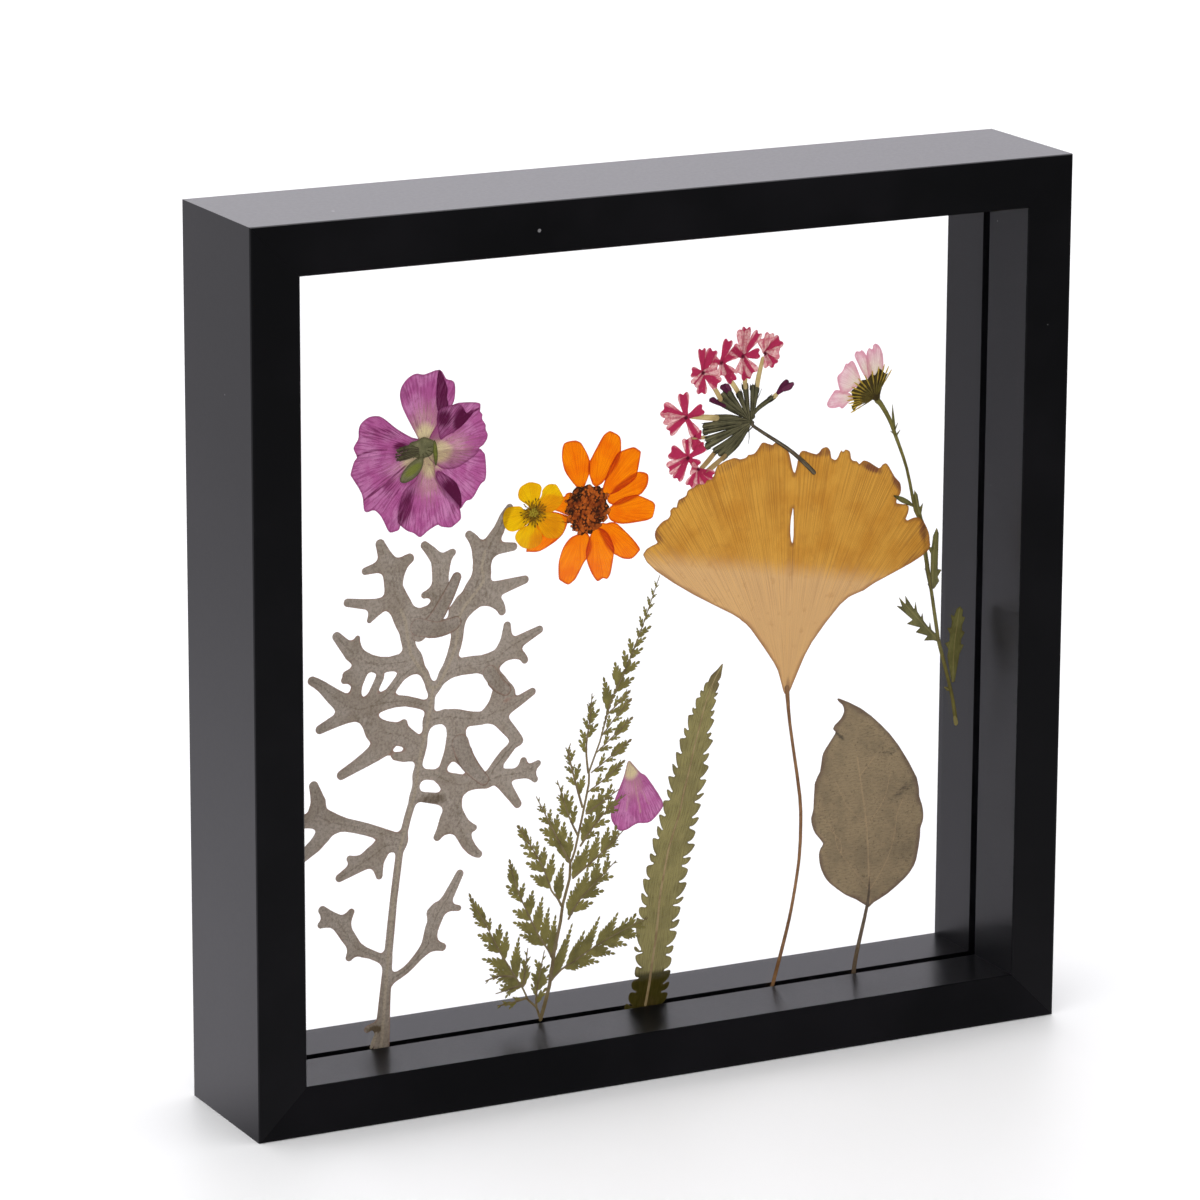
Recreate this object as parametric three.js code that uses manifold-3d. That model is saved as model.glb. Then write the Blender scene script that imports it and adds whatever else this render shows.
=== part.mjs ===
// A floating frame: four black rails with a groove on their inner faces, two glass panes in the
// groove, and pressed flowers and leaves held flat between the panes.
// Millimetres. +X to the right, +Y from the front to the back, +Z up. The origin is the middle of
// the footprint. A flat outline is a list of [x, z] points, and a band adds its half width.
import * as THREE from 'three';
import { mergeVertices } from 'three/addons/utils/BufferGeometryUtils.js';
import Module from 'manifold-3d';

const wasm = await Module();
wasm.setup();

// ---- Driving dimensions ----
const frameWidth = 250;
const frameHeight = 252;
const frameDepth = 45.5;
const faceWidth = 14.2; // of a rail, seen from the front
const edgeRadius = 0.7; // on the long outer edges
const grooveFront = -1.85;
const grooveBack = 2.8;
const grooveDepth = 5;
const paneThickness = 1.7;
const paneFront = -1.75;
const paneGap = 1.1; // between the two panes, where the pressed pieces lie
const paneSideClearance = 0.8; // from a pane's edge to the bottom of the groove
const mitreClearance = 0.01;
const pressedThickness = 0.19;
const layerPitch = 0.21; // layer 0 lies against the front pane, layer 4 against the back pane
const layerClearance = 0.03; // from the front pane to layer 0
const firstLayer = paneFront + paneThickness + layerClearance;

// ---- Materials ----
function finish(colour, roughness) {
  return new THREE.MeshStandardMaterial({ color: colour, roughness, metalness: 0 });
}

const blackPaint = finish(0x1b1b1d, 0.4);
const clearGlass = new THREE.MeshStandardMaterial({
  color: 0xdfeeea, roughness: 0.02, metalness: 0, transparent: true, opacity: 0.2,
});
const orangePetal = finish(0xe8720c, 0.7);
const rustSeeds = finish(0x5a2408, 0.9);
const yellowPetal = finish(0xe2b400, 0.6);
const oliveStamens = finish(0x6b5212, 0.9);
const mallowPurple = finish(0xa04a85, 0.7);
const calyxGreen = finish(0x585636, 0.8);
const feltGrey = finish(0x847a6e, 0.95);
const goldLeaf = finish(0xc48f3f, 0.7);
const brownLeafSkin = finish(0x756a50, 0.75);
const fernOlive = finish(0x6d6838, 0.8);
const verbenaGreen = finish(0x3b3826, 0.8);
const verbenaRed = finish(0xb03050, 0.7);
const budPurple = finish(0x4a1530, 0.7);
const daisyPink = finish(0xd9a8b4, 0.7);
const daisyGreen = finish(0x4a431c, 0.8);

const frame = new THREE.Group();
frame.name = 'pressed_flower_frame';

function place(name, geometry, material) {
  const mesh = new THREE.Mesh(geometry, material);
  mesh.name = name;
  frame.add(mesh);
}

// ---- Flat shapes ----
// The closed outline drawn smoothly through its points, with a number of steps between two points.
function smooth(points, steps = 2) {
  const places = points.map(([x, z]) => new THREE.Vector3(x, z, 0));
  const curve = new THREE.CatmullRomCurve3(places, true, 'centripetal');
  return curve.getPoints(points.length * steps).slice(0, -1).map((p) => [p.x, p.y]);
}

// The outline of a band with round ends that follows [x, z, half width] points.
function band(points, endSteps = 4) {
  const left = [];
  const right = [];
  let startAngle = 0;
  let endAngle = 0;
  points.forEach(([x, z, half], i) => {
    const before = points[Math.max(i - 1, 0)];
    const after = points[Math.min(i + 1, points.length - 1)];
    const angle = Math.atan2(after[1] - before[1], after[0] - before[0]);
    left.push([x - half * Math.sin(angle), z + half * Math.cos(angle)]);
    right.push([x + half * Math.sin(angle), z - half * Math.cos(angle)]);
    if (i === 0) startAngle = angle;
    endAngle = angle;
  });
  const cap = (point, angle) => {
    const arc = [];
    for (let i = 1; i < endSteps; i += 1) {
      const turn = angle + Math.PI / 2 - (Math.PI * i) / endSteps;
      arc.push([point[0] + point[2] * Math.cos(turn), point[1] + point[2] * Math.sin(turn)]);
    }
    return arc;
  };
  const endCap = cap(points.at(-1), endAngle);
  const startCap = cap(points[0], startAngle + Math.PI);
  return [...left, ...endCap, ...right.reverse(), ...startCap];
}

// A leaflet or petal from its base to its tip: wide is its half width, and widest says how far
// along from the base that is.
function lobe(base, tip, wide, widest = 0.6, baseHalf = 0.15, tipHalf = 0.1) {
  const along = [tip[0] - base[0], tip[1] - base[1]];
  const at = (share, half) => [base[0] + along[0] * share, base[1] + along[1] * share, half];
  return band([at(0, baseHalf), at(widest, wide), at(1, tipHalf)], 2);
}

// A thin plate of the outline, lying in one of the layers between the panes.
function plate(outline, layer, hole = null) {
  const shape = new THREE.Shape(outline.map(([x, z]) => new THREE.Vector2(x, z)));
  if (hole) shape.holes.push(new THREE.Path(hole.map(([x, z]) => new THREE.Vector2(x, z))));
  const geometry = new THREE.ExtrudeGeometry(shape, { depth: pressedThickness, bevelEnabled: false });
  geometry.rotateX(Math.PI / 2);
  geometry.translate(0, firstLayer + layer * layerPitch + pressedThickness, 0);
  return geometry;
}

function solidOf(geometry) {
  const bare = geometry.clone();
  bare.deleteAttribute('normal');
  bare.deleteAttribute('uv');
  const merged = mergeVertices(bare, 1e-4);
  const mesh = new wasm.Mesh({
    numProp: 3,
    vertProperties: new Float32Array(merged.attributes.position.array),
    triVerts: new Uint32Array(merged.index.array),
  });
  return new wasm.Manifold(mesh);
}

function geometryOf(solid) {
  const mesh = solid.getMesh();
  const geometry = new THREE.BufferGeometry();
  const positions = new Float32Array(mesh.vertProperties);
  geometry.setAttribute('position', new THREE.BufferAttribute(positions, 3));
  geometry.setIndex(new THREE.BufferAttribute(new Uint32Array(mesh.triVerts), 1));
  return geometry;
}

// Several plates of one layer, joined into one body.
function joined(outlines, layer) {
  const solids = outlines.map((outline) => solidOf(plate(outline, layer)));
  return geometryOf(solids.reduce((a, b) => a.add(b)));
}

// ---- Rails ----
// Section of a rail as [inward from the outer face, y], from the front outer edge round to the back.
function railSection() {
  const front = -frameDepth / 2;
  const back = frameDepth / 2;
  const cut = edgeRadius * (1 - Math.SQRT1_2);
  return [
    [edgeRadius, front], [faceWidth - edgeRadius / 2, front], [faceWidth, front + edgeRadius / 2],
    [faceWidth, grooveFront], [faceWidth - grooveDepth, grooveFront],
    [faceWidth - grooveDepth, grooveBack], [faceWidth, grooveBack],
    [faceWidth, back - edgeRadius / 2], [faceWidth - edgeRadius / 2, back],
    [edgeRadius, back], [cut, back - cut], [0, back - edgeRadius],
    [0, front + edgeRadius], [cut, front + cut],
  ];
}

// A mitred rail along the bottom edge of a frame of this length, ready to be turned into place.
function railGeometry(length) {
  const section = railSection();
  const count = section.length;
  const vertices = [];
  for (const side of [-1, 1]) {
    for (const [inward, y] of section) {
      vertices.push(side * (length / 2 - inward - mitreClearance), y, inward);
    }
  }
  const faces = [];
  for (let i = 0; i < count; i += 1) {
    const next = (i + 1) % count;
    faces.push(i, count + next, next, i, count + i, count + next);
  }
  const cap = THREE.ShapeUtils.triangulateShape(section.map(([a, b]) => new THREE.Vector2(a, b)), []);
  for (const [a, b, c] of cap) {
    faces.push(a, b, c);
    faces.push(count + a, count + c, count + b);
  }
  const geometry = new THREE.BufferGeometry();
  geometry.setAttribute('position', new THREE.Float32BufferAttribute(vertices, 3));
  geometry.setIndex(faces);
  return geometry;
}

function makeRails() {
  const quarter = Math.PI / 2;
  place('rail_bottom', railGeometry(frameWidth), blackPaint);
  place('rail_top', railGeometry(frameWidth).rotateY(Math.PI).translate(0, 0, frameHeight), blackPaint);
  for (const [name, side] of [['rail_left', -1], ['rail_right', 1]]) {
    const rail = railGeometry(frameHeight).rotateY(-side * quarter);
    place(name, rail.translate((side * frameWidth) / 2, 0, frameHeight / 2), blackPaint);
  }
}

// Each pane stands on the floor of the groove and has clearance at its sides and top.
function makePanes() {
  const floor = faceWidth - grooveDepth + mitreClearance;
  const width = frameWidth - 2 * (faceWidth - grooveDepth + paneSideClearance);
  const height = frameHeight - floor - (faceWidth - grooveDepth) - paneSideClearance;
  const fronts = { glass_front: paneFront, glass_back: paneFront + paneThickness + paneGap };
  for (const [name, front] of Object.entries(fronts)) {
    const pane = new THREE.BoxGeometry(width, paneThickness, height);
    place(name, pane.translate(0, front + paneThickness / 2, floor + height / 2), clearGlass);
  }
}

// ---- Orange zinnia ----
const zinniaPetals = [
  { layer: 1, outline: [[-17.8, 165.5], [-20, 168.7], [-21.5, 170.9], [-22.5, 173.6], [-22.9, 176.5],
    [-22.15, 179.4], [-20.2, 179.9], [-17.8, 179.6], [-15.9, 177.6], [-14.9, 174], [-15.2, 169.6],
    [-16, 166.8]] },
  { layer: 2, outline: [[-12.6, 165.6], [-14.2, 169.6], [-14.7, 172], [-13.7, 174.9], [-11.4, 178.4],
    [-8.8, 181.3], [-7.3, 181.3], [-4.9, 179.6], [-4.5, 176.5], [-5.5, 172.2], [-8.5, 169],
    [-11, 166.6]] },
  { layer: 1, outline: [[-10.6, 164.3], [-8.9, 167.4], [-7.5, 169.3], [-4.8, 174.2], [-2.6, 176],
    [-0.6, 176.2], [1.5, 174.3], [1.3, 172.9], [0.2, 169.3], [-2.9, 167], [-6.8, 165.1]] },
  { layer: 2, outline: [[-8.8, 162.4], [-7.5, 164.4], [-4.2, 167], [-0.3, 169], [1.6, 169.1],
    [3.9, 168], [4, 166.2], [2.6, 163.4], [-0.3, 161.8], [-4.5, 160.5], [-7.2, 160.6]] },
  { layer: 1, outline: [[-8.8, 159.2], [-6.3, 160.6], [-2.6, 161.7], [1.3, 161.7], [4.9, 160.5],
    [6.1, 158.8], [5.4, 156], [2.6, 155], [-2, 154.7], [-5.5, 155.2], [-8, 156.8]] },
  { layer: 2, outline: [[-10.2, 156], [-7.5, 155.7], [-3.9, 153.7], [-0.6, 150.1], [1.5, 147.1],
    [-0.4, 144.8], [-2.1, 144.6], [-5.5, 145.9], [-8.5, 148.5], [-10.7, 152.2], [-11.4, 154.4]] },
  { layer: 1, outline: [[-13.8, 154.4], [-14.6, 151.1], [-15.3, 146.8], [-14.3, 143.6],
    [-12.4, 139.8], [-10.3, 140], [-8.8, 139.8], [-7.4, 142.2], [-7.3, 146.8], [-9.1, 150.4],
    [-11.4, 154.2]] },
  { layer: 2, outline: [[-17.5, 154.6], [-20.8, 152], [-23.1, 148.1], [-23.8, 143.2], [-22.8, 140.6],
    [-20.8, 139.4], [-18.2, 141.1], [-15.9, 145], [-14.6, 148.8], [-14.6, 151.6], [-15.8, 154.4]] },
  { layer: 4, outline: [[-21.2, 156], [-21.8, 154.3], [-25.4, 151.4], [-29.3, 149.7], [-32.6, 149.9],
    [-33.2, 151.4], [-30.9, 156.3], [-27.7, 159.8], [-24, 160.1], [-21.4, 159.2], [-20.2, 158.2]] },
  { layer: 3, outline: [[-19.4, 165], [-22.1, 164.4], [-26.4, 165.7], [-29.2, 164.4], [-29.6, 162],
    [-26.7, 160.2], [-23.4, 160.4], [-20.6, 159.6], [-18.8, 161.4]] },
];
const zinniaDisc = [[-18, 166.9], [-14.6, 167.1], [-11, 166.2], [-9.3, 163.6], [-8.3, 160.4],
  [-9.2, 157.2], [-11.8, 155.2], [-13.5, 153.2], [-16.6, 153.1], [-19.2, 154.6], [-20.6, 157.8],
  [-22.2, 160], [-21, 163.6]];

function makeZinnia() {
  zinniaPetals.forEach(({ layer, outline }, i) => {
    place(`zinnia_petal_${i + 1}`, plate(smooth(outline), layer), orangePetal);
  });
  place('zinnia_disc', plate(smooth(zinniaDisc), 0), rustSeeds);
}

// ---- Buttercup ----
const buttercupPetals = [
  { layer: 1, outline: [[-32.4, 162.4], [-34.5, 164], [-36.2, 166.1], [-35.3, 168.7], [-32.8, 169.7],
    [-30, 169], [-29.1, 167], [-30, 164.2], [-31, 162.4]] },
  { layer: 2, outline: [[-30.6, 162.4], [-29, 165.4], [-27.9, 167.9], [-25.6, 168.5], [-23.4, 166.6],
    [-22.2, 164.3], [-23.4, 162], [-26.7, 160.4], [-30, 161]] },
  { layer: 1, outline: [[-30.4, 160.4], [-25.7, 160.4], [-22.8, 158.9], [-21.9, 156], [-23.3, 153.5],
    [-25.7, 153], [-28.3, 154.1], [-29.8, 156.9], [-30.8, 159.2]] },
  { layer: 2, outline: [[-32.4, 158.4], [-36.1, 156.4], [-37, 154.3], [-35.5, 152], [-32.2, 150.9],
    [-29.6, 151.7], [-28.7, 154], [-30.3, 156.9], [-31.2, 158.6]] },
  { layer: 3, outline: [[-32.8, 160.8], [-34.9, 162.8], [-37.3, 163.4], [-39.9, 162.5],
    [-40.6, 159.8], [-39.4, 156.9], [-36.5, 156.3], [-33.6, 157.4], [-32.4, 159.2]] },
];
const buttercupCentre = [-31.6, 161, 3.1];

function circle([x, z, radius], sides = 14) {
  return Array.from({ length: sides }, (_, i) => {
    const turn = (i / sides) * 2 * Math.PI;
    return [x + radius * Math.cos(turn), z + radius * Math.sin(turn)];
  });
}

function makeButtercup() {
  buttercupPetals.forEach(({ layer, outline }, i) => {
    place(`buttercup_petal_${i + 1}`, plate(smooth(outline), layer), yellowPetal);
  });
  place('buttercup_stamens', plate(circle(buttercupCentre), 0), oliveStamens);
}

// ---- Mallow flower and the loose mallow petal ----
const mallowPetals = [
  { layer: 2, outline: [[-64, 183.6], [-66.8, 186.3], [-68.9, 190.4], [-71.4, 196.3], [-71, 200.2],
    [-68, 202.9], [-64.3, 202.8], [-61.4, 203.4], [-59.7, 203.7], [-57.8, 201], [-55.2, 199.3],
    [-55.1, 196.4], [-56, 193.6], [-58.8, 190], [-61, 185.4]] },
  { layer: 1, outline: [[-60.6, 185.6], [-58.4, 190.6], [-55.6, 193.8], [-51, 193.9], [-48, 193.4],
    [-47.6, 190.8], [-46.4, 187.8], [-45.4, 184.4], [-46.6, 181.6], [-48.6, 179.4], [-52.7, 176.9],
    [-58.3, 176], [-61, 178.6], [-61.6, 182]] },
  { layer: 2, outline: [[-61.8, 179.6], [-54, 180.4], [-48, 180.7], [-46.1, 178.5], [-45.8, 174.4],
    [-47.4, 170.7], [-49.4, 167.6], [-52, 166.3], [-53.9, 164.4], [-57, 166.4], [-59.8, 170.4],
    [-61.4, 175]] },
  { layer: 1, outline: [[-62, 178.4], [-60.8, 173], [-58.6, 168.6], [-54.2, 164.2], [-53.7, 161.4],
    [-56.8, 159.5], [-60.5, 160.7], [-63.3, 159.4], [-65.8, 157.9], [-68.9, 159.8], [-72.2, 162.2],
    [-71.9, 167.4], [-69.8, 172], [-66.2, 175.4], [-64.4, 178.6]] },
  { layer: 3, outline: [[-63.6, 183.8], [-68, 185.7], [-74.2, 190.1], [-79.2, 192.8], [-83.3, 190.7],
    [-84, 186.9], [-85.3, 184.1], [-84.3, 181.8], [-86.2, 177.6], [-83, 171.6], [-82.4, 167.4],
    [-79.2, 166.6], [-75.6, 161.6], [-73, 160], [-71, 164], [-66.8, 174.4], [-63.4, 178.8]] },
];
const mallowCentre = [[-68.6, 184.4], [-64.8, 185.4], [-61.4, 183.6], [-61, 180.2], [-63.4, 178.4],
  [-67, 176.4], [-70.4, 173.8], [-70.8, 176.4], [-68.4, 179.6], [-72, 181.4], [-72.4, 183.2]];
const loosePetal = [[-1.3, 86.4], [1, 84.1], [3.3, 81.9], [5.8, 78.8], [7.5, 76], [9.2, 73],
  [8.7, 70.7], [6.3, 68.5], [3.5, 67.6], [1.2, 67.8], [-2, 66.4], [-4.7, 66.7], [-6.4, 69],
  [-6.8, 72.4], [-5.5, 76.3], [-3.3, 81.3]];

function makeMallow() {
  mallowPetals.forEach(({ layer, outline }, i) => {
    place(`mallow_petal_${i + 1}`, plate(smooth(outline), layer), mallowPurple);
  });
  place('mallow_calyx', plate(smooth(mallowCentre), 0), calyxGreen);
  place('mallow_loose_petal', plate(smooth(loosePetal), 3), mallowPurple);
}

// ---- Ginkgo leaf ----
const ginkgoBlade = [[46, 105.4], [44.2, 109.4], [41.7, 112.8], [39.3, 116.5], [36.8, 119.9],
  [34, 122.6], [30.7, 125.1], [22.7, 129.6], [18.4, 132.1], [9.2, 138.3], [4.6, 142.6], [2.4, 145.4],
  [5.5, 147.7], [7.1, 148.1], [6.1, 150.8], [8.6, 154.2], [10.4, 154.8], [10.9, 157], [13, 157.7],
  [13.4, 159.7], [16, 160.7], [17.5, 162.8], [24.5, 165.3], [25.6, 168.3], [30.7, 170], [34.7, 169.7],
  [37.4, 170.6], [38.3, 172], [40.5, 173.4], [42.9, 172.4], [44.2, 173.2], [47.2, 171.1],
  [49.4, 166.2], [50.1, 163], [51.2, 168], [52.6, 169.8], [57.1, 168.3], [59.8, 170.1], [61.5, 168.6],
  [61.8, 166.8], [63.2, 166.1], [64.9, 168.8], [65.6, 168], [66.3, 168.8], [67.8, 168], [68.7, 165.3],
  [70.9, 164], [72.1, 165], [77.3, 162.2], [79.4, 163.5], [82.5, 159.1], [84.5, 156.1], [83.1, 151.6],
  [86.9, 150.2], [86.2, 146.6], [90.2, 146.7], [92.6, 144.4], [94.2, 139.2], [92.6, 135.8],
  [85.9, 132.6], [76.7, 129.1], [69.9, 126.4], [65.3, 123.9], [60.7, 118.9], [56.4, 114],
  [52.8, 107.6], [50, 101.5], [49.6, 99], [47.6, 99], [47.2, 101.2]];
const ginkgoSlit = [[49.1, 150.2], [49, 146.6], [49.5, 143.2], [50, 146], [50, 149.6], [49.7, 153.2]];
const ginkgoStalk = [[48.5, 101, 0.9], [48.9, 96.1, 0.5], [50.5, 84.9, 0.5], [52.4, 74.4, 0.55],
  [53.4, 63.8, 0.55], [53.3, 53.2, 0.55], [52.1, 43.2, 0.5], [50.2, 33.8, 0.5], [48.1, 24.9, 0.6],
  [46.1, 17.9, 0.65], [44.4, 11.8, 0.65]];

function makeGinkgo() {
  const layer = 2;
  const blade = solidOf(plate(ginkgoBlade, layer, smooth(ginkgoSlit)));
  const stalk = solidOf(plate(band(ginkgoStalk), layer));
  place('ginkgo_leaf', geometryOf(blade.add(stalk)), goldLeaf);
}

// ---- Brown leaf ----
const brownBlade = [[65.4, 96.4], [70.1, 94.1], [75.1, 90.5], [79.3, 86.9], [83.4, 82.4],
  [86.8, 77.4], [90.1, 71.9], [91.6, 68], [92.3, 64.1], [93.8, 58.6], [92.9, 54.4], [92.3, 48.6],
  [90.1, 42.2], [85.1, 38], [80.1, 34.9], [76, 33], [71.8, 35.9], [65.7, 39.7], [61.2, 44.7],
  [59.6, 50.8], [60.9, 54], [57.3, 59.7], [57.6, 64.7], [57.9, 72.2], [59.8, 77.4], [61.2, 81.9],
  [64.3, 86.1], [63.6, 87.6], [66.9, 91.6], [66.5, 94.4]];
const brownStalk = [[75.9, 35, 0.5], [74.6, 28.6, 0.5], [73.4, 24.1, 0.6], [72.3, 19.1, 0.7],
  [71.2, 11.8, 0.75]];

function makeBrownLeaf() {
  place('brown_leaf', joined([smooth(brownBlade, 1), band(brownStalk)], 2), brownLeafSkin);
}

// ---- Dusty miller leaf ----
const millerBands = [
  // the main rib and its fork
  [[-78.4, 12.6, 2.8], [-77.6, 19, 2.4], [-76.9, 27, 2], [-75.6, 40, 1.5], [-73.2, 58, 1.3],
    [-71.6, 71, 1.3], [-67.5, 85, 1.3], [-66, 95, 1.3], [-63.5, 105, 1.2], [-62, 112, 1.3],
    [-61.8, 114.5, 1.3]],
  [[-61.8, 114.5, 1.2], [-64.2, 118.8, 1.6], [-68, 124, 2.2], [-69, 129.5, 2.4], [-70.2, 134.5, 3.2],
    [-72.2, 139, 3.3], [-73.4, 144, 3], [-73.8, 149, 3], [-75.8, 152, 2.2], [-77.4, 156.6, 1.2]],
  [[-61.8, 114.5, 1.2], [-58.2, 119.2, 1.6], [-55.8, 124, 2.4], [-54.2, 129, 2.2], [-53, 134, 2.8],
    [-49.2, 139, 3.4], [-47.4, 144, 2.6], [-46.4, 150, 2.8], [-44, 154, 2.4], [-41.4, 158.6, 1.6],
    [-39.4, 162.4, 1]],
  // fingers of the crown
  [[-73, 148.5, 2.6], [-70.5, 151, 1.8], [-68.6, 151.9, 1.1]],
  [[-76, 151, 2], [-80, 150, 1.1], [-82, 149.9, 0.6]],
  [[-74, 140.5, 2.6], [-79, 140.2, 1.6], [-84, 141, 1.1], [-87.4, 141.7, 0.9]],
  [[-79, 139, 2], [-81, 136.3, 1.2], [-81.2, 134.2, 0.7]],
  [[-69.5, 135.5, 3], [-65, 135.6, 2.2], [-60, 138.4, 2.4], [-59.4, 143, 2.4], [-59.5, 147, 2.5],
    [-60.6, 151, 2], [-64.2, 155.2, 0.9]],
  [[-58.8, 149, 2], [-57, 151.4, 1.2], [-55.8, 152.2, 0.7]],
  [[-61.5, 142, 1.2], [-64.4, 141.3, 0.6]],
  [[-60, 139, 1.6], [-57, 142.4, 1.5], [-54.6, 145.2, 0.8]],
  [[-66, 133.4, 2.2], [-60, 131.8, 1.4], [-55, 132.4, 2]],
  [[-63, 130.4, 0.8], [-58.5, 127, 1.4], [-56, 124, 2]],
  [[-47.5, 151.5, 2], [-49.3, 155, 1.4], [-50.9, 156.8, 0.8]],
  [[-43, 152, 1.9], [-39.5, 152, 1.4], [-37, 151.9, 0.9]],
  [[-49, 139.4, 3], [-44, 140.3, 2.4], [-39, 141, 1.7], [-35, 142, 1.2], [-33.6, 142.2, 0.8]],
  [[-45, 138.5, 2.2], [-41.8, 136, 1.5], [-40.8, 133.8, 0.8]],
  // left lobes, from the top down
  [[-68, 123.5, 2.8], [-75, 123, 2], [-81, 124.2, 2.4], [-86, 127.5, 2.4], [-88.5, 130.5, 1.8],
    [-90.8, 132.8, 0.9]],
  [[-85, 128, 1.8], [-83.6, 131, 0.9], [-83.3, 132.8, 0.5]],
  [[-83.5, 123, 1.6], [-88, 121.7, 0.4]],
  [[-85.8, 112, 2.2], [-84.8, 118, 1.7], [-82.8, 123, 1.5]],
  [[-88.4, 120.1, 0.35], [-84.6, 120.2, 0.8]],
  [[-81, 112.8, 0.9], [-79.4, 117, 0.9], [-76.4, 121.4, 1]],
  [[-82, 112.4, 1], [-75, 115, 1.1], [-71, 119, 1.2], [-67, 121.8, 1.5]],
  [[-63.5, 109.8, 1.1], [-70, 112.1, 1.4], [-76, 112, 2], [-82, 111.3, 2.8], [-87.5, 112.5, 3.1],
    [-91, 115.6, 2.2], [-95, 119, 1.5], [-98.1, 121.2, 0.9]],
  [[-87, 110.6, 2.5], [-92, 108.7, 1.5], [-96, 107, 0.9]],
  [[-82.4, 109.6, 2.4], [-79, 105.4, 2.9], [-76.8, 101.6, 2.9], [-81.6, 97.6, 2.3], [-86, 95, 1.8],
    [-90, 93.4, 1]],
  [[-78, 104.4, 2.8], [-73.6, 103.4, 3], [-69.6, 101.6, 2.2], [-66.4, 97.6, 1.6]],
  [[-72, 104.5, 1.4], [-70.5, 106.2, 0.5]],
  [[-67, 96.4, 1.7], [-70.5, 96.2, 1.3], [-73.6, 96.8, 0.6]],
  [[-71.6, 72.4, 1.5], [-76, 74.2, 1.6], [-82, 76.9, 1.8], [-88, 79, 2], [-93, 80.6, 3],
    [-95.6, 86.5, 2.1], [-97.8, 91.6, 1]],
  [[-95, 81.4, 2.4], [-101, 81.7, 2.2], [-105, 82.4, 2]],
  [[-93.5, 79, 2.6], [-97.5, 74.6, 2], [-101, 72, 1.7], [-104, 70.2, 1.3]],
  [[-72, 71, 1.6], [-76.5, 71.3, 2.4], [-80.5, 69, 2.9], [-85, 66.8, 2.2], [-90.2, 64.3, 0.9]],
  [[-85.4, 67.6, 1.8], [-87.2, 69, 0.4]],
  [[-79, 68, 2.2], [-78.3, 65, 1.2], [-78.3, 63.3, 0.6]],
  [[-76.6, 38.6, 1.1], [-81, 41, 1.1], [-85.5, 43.5, 1.9], [-88, 47, 2.2], [-90.4, 51, 2.2],
    [-93.5, 53.6, 1.8], [-95.6, 56, 0.9]],
  [[-93.6, 52.6, 1.4], [-96.2, 51.5, 0.5]],
  [[-89.4, 50.6, 2], [-87.5, 53, 1.1], [-86.7, 54, 0.5]],
  [[-86, 43, 1.3], [-87.5, 40.9, 0.8]],
  // right lobes, from the top down
  [[-57, 119, 1.6], [-53, 119.8, 2.4], [-47, 119.8, 2.5], [-42, 121, 2.5], [-38.5, 123.4, 2.4],
    [-34.5, 125, 1.5], [-29.4, 127.5, 0.9]],
  [[-39.4, 124.5, 2], [-39.2, 127.5, 1.2], [-39.2, 129.9, 0.7]],
  [[-37.5, 122, 1.9], [-34.8, 120.6, 0.9], [-33.8, 119.2, 0.7]],
  [[-45, 119, 2.3], [-42.6, 115.5, 2.1], [-39.9, 112.4, 1.6], [-38.3, 110.4, 1]],
  [[-44, 106, 1.9], [-42.5, 110, 1.7], [-41.8, 114, 1.7]],
  [[-63, 105.5, 1.5], [-58.5, 106.1, 2.1], [-53, 105, 2.3], [-47, 104.3, 2], [-43, 105.4, 2.5],
    [-39, 106.3, 1.9], [-35, 108, 1.2], [-31, 110, 0.8]],
  [[-55, 104, 2.9], [-54.5, 99, 3], [-53.5, 95, 2.6], [-51, 91.5, 2.1], [-48, 88, 1.5],
    [-45.6, 85.8, 0.9]],
  [[-55.6, 98, 2.2], [-58, 93.5, 1.4], [-59.2, 90.8, 0.7]],
  [[-42, 104, 2.3], [-39.5, 101, 2.1], [-37, 98, 1.8], [-35.8, 96.6, 1]],
  [[-36.8, 95.6, 0.7], [-40, 92.8, 1.6], [-43.4, 89, 1.5], [-45, 87, 1.2]],
  [[-66, 90.5, 1.4], [-61, 89.8, 1.4], [-55.5, 86.5, 3.1], [-50, 86, 2], [-45.5, 86, 1.6],
    [-41, 87.2, 1.8], [-37, 87, 1.6], [-33, 87.5, 1.5], [-30, 89, 0.6]],
  [[-34.5, 88, 1.2], [-34.2, 90.7, 0.7]],
  [[-32, 86.6, 1], [-30.5, 84.6, 0.5]],
  [[-40.5, 85.4, 2.1], [-38, 81, 1.6], [-35.9, 78.2, 1]],
  [[-56.2, 86, 3], [-56.2, 79, 3], [-54.6, 75.6, 3], [-52.8, 72.4, 2.5], [-51.4, 69, 2],
    [-49.3, 66.4, 1.3], [-48, 65.6, 0.8]],
  [[-57.4, 76.4, 2.4], [-59.8, 73.2, 1.4], [-60.7, 71.8, 0.9]],
  [[-52.4, 74, 1.9], [-49.3, 73.3, 0.5]],
  [[-67.2, 84.2, 1.2], [-62.4, 83.2, 1.6], [-58.4, 81.4, 1.8]],
  [[-75, 33.2, 1.1], [-70.5, 34.8, 0.8], [-66.5, 38.2, 1.2], [-63.4, 41.6, 2.1], [-62.5, 45.6, 2.2],
    [-60.5, 50, 2.2], [-57.5, 54, 1.6], [-55, 58.5, 1.1], [-53.8, 60.4, 0.8]],
  [[-62.4, 50, 1.3], [-61.6, 51.8, 0.8]],
  [[-58.4, 51.2, 1.2], [-54.6, 50.6, 0.5]],
  [[-62, 41, 1.5], [-59.4, 40.1, 0.8]],
  [[-78.8, 19, 0.8], [-80.6, 19.9, 0.5], [-82.6, 19.4, 0.6]],
  [[-79, 18, 1.2], [-80.8, 14, 0.7]],
];

function makeDustyMiller() {
  place('dusty_miller_leaf', joined(millerBands.map((points) => band(points, 2)), 4), feltGrey);
}

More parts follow.
